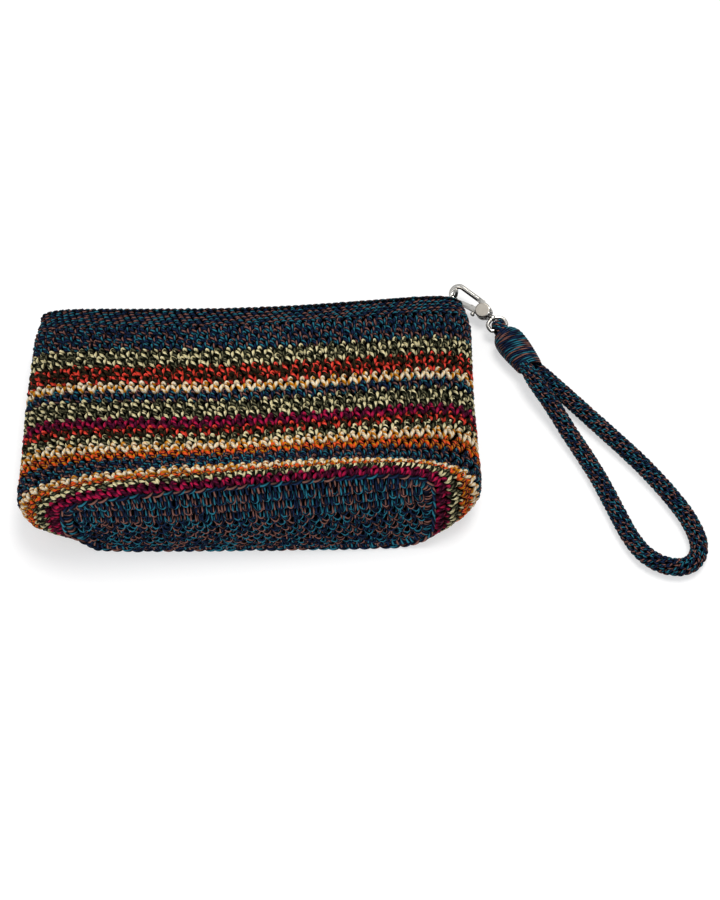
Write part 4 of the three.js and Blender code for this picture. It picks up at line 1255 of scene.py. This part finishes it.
# The tab's loops: one side as seen from the ring's near point, the round top, how far the loops lie apart at
# the ring and at the zip, and where on the yarn's plies they start
TAB_STRAND = 0.72
TAB_DROP = 8.6
TAB_SIDE = [(0.75, -TAB_DROP), (0.75, -6.0), (0.9, -4.2), (1.5, -2.2), (2.0, -0.6)]
TAB_TOP_RADIUS = 2.05
TAB_TOP_DROP = 0.3
TAB_GAP_RING = 1.3
TAB_GAP_ZIP = 1.9
TAB_PHASES = np.array([0.1, 0.5, 0.8])
# The whipping at the tab's waist: its turns, place below the ring's near point, length, sizes and slant
WAIST_STRAND = 0.55
WAIST_TURNS = 3.2
WAIST_STEPS = 60
WAIST_DROP = 5.2
WAIST_LENGTH = 2.3
WAIST_HALF_WIDTH = 1.65
WAIST_HALF_HEIGHT = 2.75
WAIST_Z = 9.1
WAIST_SLANT = 0.45
WAIST_PHASE = 0.3


def make_tab():
    """Yarn loops from the zip's end round the ring, side by side, with turns of whipping at their waist."""
    fabric = Fabric()
    top = TAB_TOP_RADIUS * arc(0, 1, steps=7) - (0, TAB_TOP_DROP)
    side = np.array(TAB_SIDE)
    x, y = spline(np.concatenate([side, top, side[::-1] * (-1, 1)]), steps=4).T
    count = len(TAB_PHASES)
    number = (np.arange(count) - (count - 1) / 2)[:, None]
    down = smooth(-y / TAB_DROP)
    height = (CLASP_HEIGHT + TAB_GAP_RING * number) * (1 - down) + (ZIP_Z + TAB_GAP_ZIP * number) * down
    lines = points_at(RING_NEAR[0] + x, RING_NEAR[1] + y, height)
    outward = np.cross(np.gradient(lines, axis=1), UP)
    strands(fabric, lines, outward, TAB_STRAND, TAB_PHASES, **EVEN)
    turn = np.linspace(0, WAIST_TURNS * TAU, WAIST_STEPS)[None, :]
    along = WAIST_LENGTH * turn / turn.max()
    waist = points_at(
        RING_NEAR[0] + WAIST_HALF_WIDTH * np.cos(turn),
        RING_NEAR[1] - WAIST_DROP + along,
        WAIST_Z - WAIST_SLANT * along + WAIST_HALF_HEIGHT * np.sin(turn),
    )
    away = points_at(np.cos(turn), 0, np.sin(turn))
    strands(fabric, waist, away, WAIST_STRAND, np.array([WAIST_PHASE]), **EVEN)
    add_piece(fabric, "tab_loops", YARN["navy"], "ring_tab", "pouch")


# Zip and lining
ZIP_SINK = 3.5
ZIP_Y = MOUTH_Y - ZIP_SINK
ZIP_Z = 11.89
TAPE_HALF = 0.35
TAPE_DEPTH = 3.3
TAPE_COLUMNS = 400
ZIP_REACH = (ZIP_Y + MOUTH_Y) / WALL_RUN
WINDOW_HALF = 75.0
WINDOW_TOP = 18.27
WINDOW_BOTTOM = 5.5
WINDOW_ROOM = 0.3
SLOT_END = 84.3
COIL_HALF_GAP = 0.8
LINING_DEPTHS = (3.5, 4.3)
LINING_DROP = 0.3
LINING_REACH = (ZIP_Y - TAPE_HALF - LINING_DROP + MOUTH_Y) / WALL_RUN
LINING_FLOOR_RINGS = 6
LINING_SIDE_RINGS = 28
# Weave: scale of slow changes of shade, what the threads' height adds to the shade as painted shade in the
# weave's hollows, and span and lowest value of the rest
WEAVE_SCALE = 220.0
WEAVE_DETAIL = 4.0
WEAVE_HEIGHT_SHADE = 0.3
WEAVE_SLOW_SHADE = (0.6, 0.45)
CLOTH_FINISH = {"Roughness": 0.75, "Sheen Weight": 0.15}


def make_weave_and_shade_group():
    """Plain weave: two sets of threads that pass over each other by turns, with painted shade where they dip,
    and slow changes of shade.
    """
    tree, given, put = new_group("cloth_weave_and_shade", ["Place"], ["Threads"], ["Shade", "Height"])
    inputs = {0: given["Place"], "Scale": given["Threads"]}
    scaled = add_node(tree, "ShaderNodeVectorMath", inputs, operation="SCALE").outputs[0]
    place = split(tree, scaled)
    warp = math_node(tree, "SINE", place["X"])
    weft = math_node(tree, "SINE", math_node(tree, "ADD", place["Y"], place["Z"]))
    height = ranged(tree, math_node(tree, "MULTIPLY", warp, weft), 0.5, 0.5)
    slow = ranged(tree, noise(tree, given["Place"], WEAVE_SCALE, WEAVE_DETAIL), *WEAVE_SLOW_SHADE)
    feed(tree, put, {"Shade": ranged(tree, height, WEAVE_HEIGHT_SHADE, slow), "Height": height})
    return tree


def cloth_material(name, code, threads, depth):
    """Woven cloth: its threads are sines of a number times the place, and its bump has a depth, in metres."""
    material, tree, shader = new_material(name)
    inputs = {"Place": place_in(tree), "Threads": threads}
    weave = add_node(tree, "ShaderNodeGroup", inputs, node_tree=WEAVE_AND_SHADE).outputs
    normal = bump(tree, weave["Height"], depth)
    finish_surface(tree, shader, linear(code), weave["Shade"], normal, CLOTH_FINISH)
    return material


WEAVE_AND_SHADE = make_weave_and_shade_group()
LINING_CLOTH = cloth_material("lining_cloth", "#2a3656", 9000.0, 0.0002)
TAPE_CLOTH = cloth_material("zip_tape", "#1f2840", 7000.0, 0.00025)
COIL_NYLON = cloth_material("zip_coil", "#252f48", 3000.0, 0.00005)


def make_lining():
    """The cloth bag inside: a base that follows the crochet's bulge, and a side up to under the zip."""
    centre = np.array([0, EDGE_LEAN / 2 - MOUTH_Y, BASE_DEPTH / 2])
    shares = np.linspace(0, 1, LINING_FLOOR_RINGS, endpoint=False)[:, None, None]
    skins = []
    for depth in LINING_DEPTHS:
        edge = wall(WALL_COLUMNS, 0.0, depth) - (0, depth, 0)
        floor = centre + shares * (edge - centre)
        floor[..., 1] += depth - BASE_BULGE * (1 - shares[..., 0] ** 2)
        sides = []
        for share in np.linspace(0, 1, LINING_SIDE_RINGS):
            sides.append(wall(WALL_COLUMNS, share * LINING_REACH, depth, 1 - smooth(share)))
        skins.append(np.concatenate([floor, sides]))
    fabric = Fabric()
    sheet(fabric, np.concatenate([skins[0], skins[1][::-1]])[:, ::-1], 0)
    add_piece(fabric, "lining_bag", [LINING_CLOTH], "lining", "pouch", welded=True)


def make_tape():
    """The tape sewn inside the mouth, round the window that its two free edges close and the slots for the
    coil at the window's ends."""
    shares = np.linspace(0, 1, TAPE_COLUMNS, endpoint=False)
    outer = wall(turn_at(shares, even_turns(ZIP_REACH)), ZIP_REACH, TAPE_DEPTH, 0.0)[:, [0, 2]]
    half = WINDOW_HALF + WINDOW_ROOM
    slot_top, slot_bottom = ZIP_Z + COIL_HALF_GAP, ZIP_Z - COIL_HALF_GAP
    corners = np.array([
        (SLOT_END, ZIP_Z), (SLOT_END, slot_top), (half, slot_top), (half, WINDOW_TOP), (-half, WINDOW_TOP),
        (-half, slot_top), (-SLOT_END, slot_top), (-SLOT_END, slot_bottom), (-half, slot_bottom),
        (-half, WINDOW_BOTTOM), (half, WINDOW_BOTTOM), (half, slot_bottom), (SLOT_END, slot_bottom),
        (SLOT_END, ZIP_Z),
    ])
    lengths = path_lengths(corners)
    inner = pick(corners, lengths, shares * lengths[-1])
    top, bottom = ZIP_Y + TAPE_HALF, ZIP_Y - TAPE_HALF
    sides = ((outer, bottom), (outer, top), (inner, top), (inner, bottom))
    loops = [points_at(outline[:, 0], y, outline[:, 1]) for outline, y in sides]
    fabric = Fabric()
    ring_body(fabric, np.array(loops)[:, ::-1], 0)
    add_piece(fabric, "tape_oval", [TAPE_CLOTH], "zip_tape", "pouch", sharp=True)


# Section of a free edge of the tape: share of the way in from its sewn line, and height in half thicknesses
EDGE_SECTION = [
    (0, 0.6), (0.02, 1), (0.3, 1), (0.34, 0.7), (0.38, 1), (0.9, 1), (0.95, 1.6), (1, 1.2), (1.02, 0),
    (1, -1.2), (0.95, -1.6), (0.9, -1), (0.02, -1), (0, -0.6),
]
EDGE_INNER = 0.35
EDGE_STEPS = 60


def make_zip_edge(name, side, body):
    """One free edge of the tape, with a woven line along it and a bead under its coil."""
    outer = (WINDOW_TOP if side > 0 else WINDOW_BOTTOM) - side * WINDOW_ROOM
    inner = ZIP_Z + side * EDGE_INNER
    share, height = np.array(EDGE_SECTION).T
    x = np.linspace(-WINDOW_HALF, WINDOW_HALF, EDGE_STEPS)
    rings = points_at(x[:, None], ZIP_Y + TAPE_HALF * height, outer + (inner - outer) * share)
    ends = rings[[0, -1]].mean(axis=1, keepdims=True) + np.zeros((2, len(share), 3))
    rings = np.concatenate([ends[:1], rings, ends[1:]])
    fabric = Fabric()
    sheet(fabric, rings if side > 0 else rings[:, ::-1], 0)
    add_piece(
        fabric, f"tape_edge_{name}", [TAPE_CLOTH], f"zip_edge_{name}", body,
        welded=True, sharp=True)


# One turn of a zip's coil: distance in from the coil's outer side, and height over the tape
TOOTH = np.array([
    (0.0, 0.35), (0.5, 1.35), (1.6, 1.55), (2.75, 1.3), (3.1, 0.95), (2.7, 0.6), (1.5, 0.5), (0.3, 0.3),
])
TOOTH_PITCH = 2.0
TOOTH_STRAND = 0.36
TOOTH_LEAN = 0.25
TOOTH_LIFT = 0.2
COIL_WIDTH = 2.2
# Where the turns of each coil lie in their pitch
COIL_STARTS = {"front": 0.25, "back": 0.75}
# The sewn lines over a coil: distances in from its outer side, height over the tape and how much it beats
SEAM_INSETS = (0.55, 1.5)
SEAM_STRAND = 0.26
SEAM_HEIGHT = 1.75
SEAM_BEAT = 0.12
SEAM_PHASE = 0.4
ALONG_ZIP = np.array([1.0, 0.0, 0.0])


def make_coil(name, side, body):
    """A zip coil: bent turns of nylon that meet the other coil's turns in its gaps, and two sewn lines over
    them."""
    fabric = Fabric()
    count = int(2 * WINDOW_HALF / TOOTH_PITCH)
    x = -WINDOW_HALF + (np.arange(count) + COIL_STARTS[name]) * TOOTH_PITCH
    lean = np.linspace(-TOOTH_LEAN, TOOTH_LEAN, len(TOOTH))
    outer = ZIP_Z + side * (COIL_HALF_GAP + COIL_WIDTH)
    tape = ZIP_Y + TAPE_HALF
    lines = points_at(x[:, None] + lean, tape + TOOTH_LIFT + TOOTH[:, 1], outer - side * TOOTH[:, 0])
    strands(fabric, lines, ALONG_ZIP, TOOTH_STRAND, np.zeros(count), **EVEN)
    x = np.linspace(-WINDOW_HALF, WINDOW_HALF, 2 * count)
    beat = SEAM_HEIGHT + SEAM_BEAT * np.cos(x * TAU / TOOTH_PITCH)
    for inset in SEAM_INSETS:
        line = points_at(x, tape + beat, outer - side * inset)[None]
        strands(fabric, line, TO_MOUTH, SEAM_STRAND, np.array([SEAM_PHASE]), **EVEN)
    add_piece(fabric, f"coil_turns_{name}", [COIL_NYLON], f"zip_coil_{name}", body)


# The slider's pull: its length and half width, the window for the slider's bail, and its eased edges
PULL_LENGTH = 15.5
PULL_HALF_WIDTH = 3.2
PULL_HALF_THICKNESS = 0.45
PULL_BAR = 0.5
PULL_WINDOW = 3.6
PULL_WINDOW_HALF = 1.6
PULL_EASE = 0.2
PULL_SIDES = 64


def make_pull():
    """The pull: a paddle with rounded ends round the window that the slider's bail passes through."""
    joint = next(joint for joint in frame["joints"] if joint["name"] == "pull_swing")
    pin = np.array(joint["pos_m"]) / MM
    square_x, square_z = rounded_square(PULL_SIDES).T

    def loop(near, far, half_width, height):
        x = pin[0] - (near + far) / 2 + (far - near) / 2 * square_x
        return points_at(x, pin[1] + height, pin[2] + half_width * square_z)

    thick, ease = PULL_HALF_THICKNESS, PULL_EASE
    loops = []
    for height, inset in ((-thick, ease), (ease - thick, 0), (thick - ease, 0), (thick, ease)):
        loops.append(loop(inset - PULL_BAR, PULL_LENGTH - inset, PULL_HALF_WIDTH - inset, height))
    for height in (thick, -thick):
        loops.append(loop(PULL_BAR, PULL_WINDOW, PULL_WINDOW_HALF, height))
    fabric = Fabric()
    ring_body(fabric, np.array(loops)[:, ::-1], 0)
    add_piece(fabric, "pull_paddle", [ZIP_NICKEL], "zip_pull", "pull", sharp=True)


def dress_metal_nodes():
    """The zip's slider and stops keep their solids and get the plated metal."""
    for node in ("zip_slider", "zip_stop_left", "zip_stop_right"):
        mesh = frame["nodes"][node].data
        mesh.materials.clear()
        mesh.materials.append(ZIP_NICKEL)


# Camera, floor and light, in metres
CAMERA_AZIMUTH = np.radians(-2)
CAMERA_ELEVATION = np.radians(60)
CAMERA_DISTANCE = 0.75
CAMERA_TARGET = Vector((0.0497, -0.0092, 0.0))
CAMERA_LENS = 65.0
CAMERA_SENSOR = 36.0
CAMERA_NEAR = 0.01
FLOOR_HALF = 3.0
FLOOR_COLOUR = "#fbfaf7"
FLOOR_ROUGHNESS = 0.9
FLOOR_LIT = 0.5
FLOOR_GLOW = 0.52
# The sky's colour at a height from the horizon, 0, to straight up, 1
SKY = [(0.1, "#24262b"), (0.55, "#f4f6fa")]
SKY_STRENGTH = 0.7
LIGHT_AIM = Vector((0.03, 0, 0))


def make_camera():
    """The photo's view, from above the front."""
    data = bpy.data.cameras.new("camera")
    data.lens = CAMERA_LENS
    data.sensor_width = CAMERA_SENSOR
    data.clip_start = CAMERA_NEAR
    camera = bpy.data.objects.new("camera", data)
    back = Vector((
        np.sin(CAMERA_AZIMUTH) * np.cos(CAMERA_ELEVATION),
        -np.cos(CAMERA_AZIMUTH) * np.cos(CAMERA_ELEVATION),
        np.sin(CAMERA_ELEVATION),
    ))
    camera.location = CAMERA_TARGET + CAMERA_DISTANCE * back
    camera.rotation_euler = back.to_track_quat("Z", "Y").to_euler()
    bpy.context.scene.collection.objects.link(camera)
    bpy.context.scene.camera = camera


def seen_ray(tree):
    """1 for rays that show a surface: straight, mirrored or through glass."""
    path = add_node(tree, "ShaderNodeLightPath").outputs
    direct = math_node(tree, "MAXIMUM", path["Is Camera Ray"], path["Is Glossy Ray"])
    return math_node(tree, "MAXIMUM", direct, path["Is Transmission Ray"])


def mix_shaders(tree, share, first, second, output):
    """Puts two shaders, mixed by a share, on the surface of an output node."""
    inputs = {0: share, 1: first.outputs[0], 2: second.outputs[0]}
    mix = add_node(tree, "ShaderNodeMixShader", inputs)
    feed(tree, tree.nodes[output], {"Surface": mix.outputs[0]})


def make_floor():
    """A wide white floor. To the camera it is part lit and part glowing, so that it is white but for a soft
    shadow."""
    half = FLOOR_HALF / MM
    corners = np.array([(-half, -half, 0), (half, -half, 0), (half, half, 0), (-half, half, 0)])
    floor = add_object("floor", corners, [[0, 1, 2, 3]])
    material, tree, shader = new_material("floor_white")
    feed(tree, shader, {"Base Color": linear(FLOOR_COLOUR), "Roughness": FLOOR_ROUGHNESS})
    lit = add_node(tree, "ShaderNodeBsdfDiffuse", {"Color": (FLOOR_LIT, FLOOR_LIT, FLOOR_LIT, 1)})
    glow = add_node(tree, "ShaderNodeEmission", {"Strength": FLOOR_GLOW})
    both = add_node(tree, "ShaderNodeAddShader", {0: lit.outputs[0], 1: glow.outputs[0]})
    mix_shaders(tree, seen_ray(tree), shader, both, "Material Output")
    floor.data.materials.append(material)


def add_area_light(name, place, size, power, colour):
    """A round lamp that faces the object."""
    data = bpy.data.lights.new(name, "AREA")
    data.shape = "DISK"
    data.size = size
    data.energy = power
    data.color = colour
    light = bpy.data.objects.new(name, data)
    light.location = place
    light.rotation_euler = (Vector(place) - LIGHT_AIM).to_track_quat("Z", "Y").to_euler()
    bpy.context.scene.collection.objects.link(light)


def make_light():
    """A sky that is bright overhead and white to the camera, and two lamps."""
    world = bpy.data.worlds.new("studio")
    bpy.context.scene.world = world
    world.use_nodes = True
    tree = world.node_tree
    direction = add_node(tree, "ShaderNodeTexCoord").outputs["Generated"]
    colour = colour_ramp(tree, split(tree, direction)["Z"], SKY, "LINEAR")
    sky = tree.nodes["Background"]
    feed(tree, sky, {"Color": colour, "Strength": SKY_STRENGTH})
    white = add_node(tree, "ShaderNodeBackground")
    to_camera = add_node(tree, "ShaderNodeLightPath").outputs["Is Camera Ray"]
    mix_shaders(tree, to_camera, sky, white, "World Output")
    add_area_light("key", (0.3, 0.4, 1.4), size=0.8, power=15.0, colour=(1.0, 0.98, 0.95))
    add_area_light("front", (-0.7, -0.9, 0.9), size=0.9, power=4.0, colour=(0.97, 0.98, 1.0))
    bpy.context.scene.view_settings.view_transform = "Standard"


make_camera()
cord, cord_path, cord_length = make_cord()
whipping = make_whipping()
eye = make_eye()
make_bands()
make_rim()
make_base()
make_lining()
make_tape()
for name, side in (("front", 1), ("back", -1)):
    make_zip_edge(name, side, f"{name}_zip_edge")
    make_coil(name, side, f"{name}_zip_edge")
make_pull()
dress_metal_nodes()
make_tab()
make_ring()
make_hook()
make_gate()
make_pin()
make_stirrup()
make_floor()
make_light()
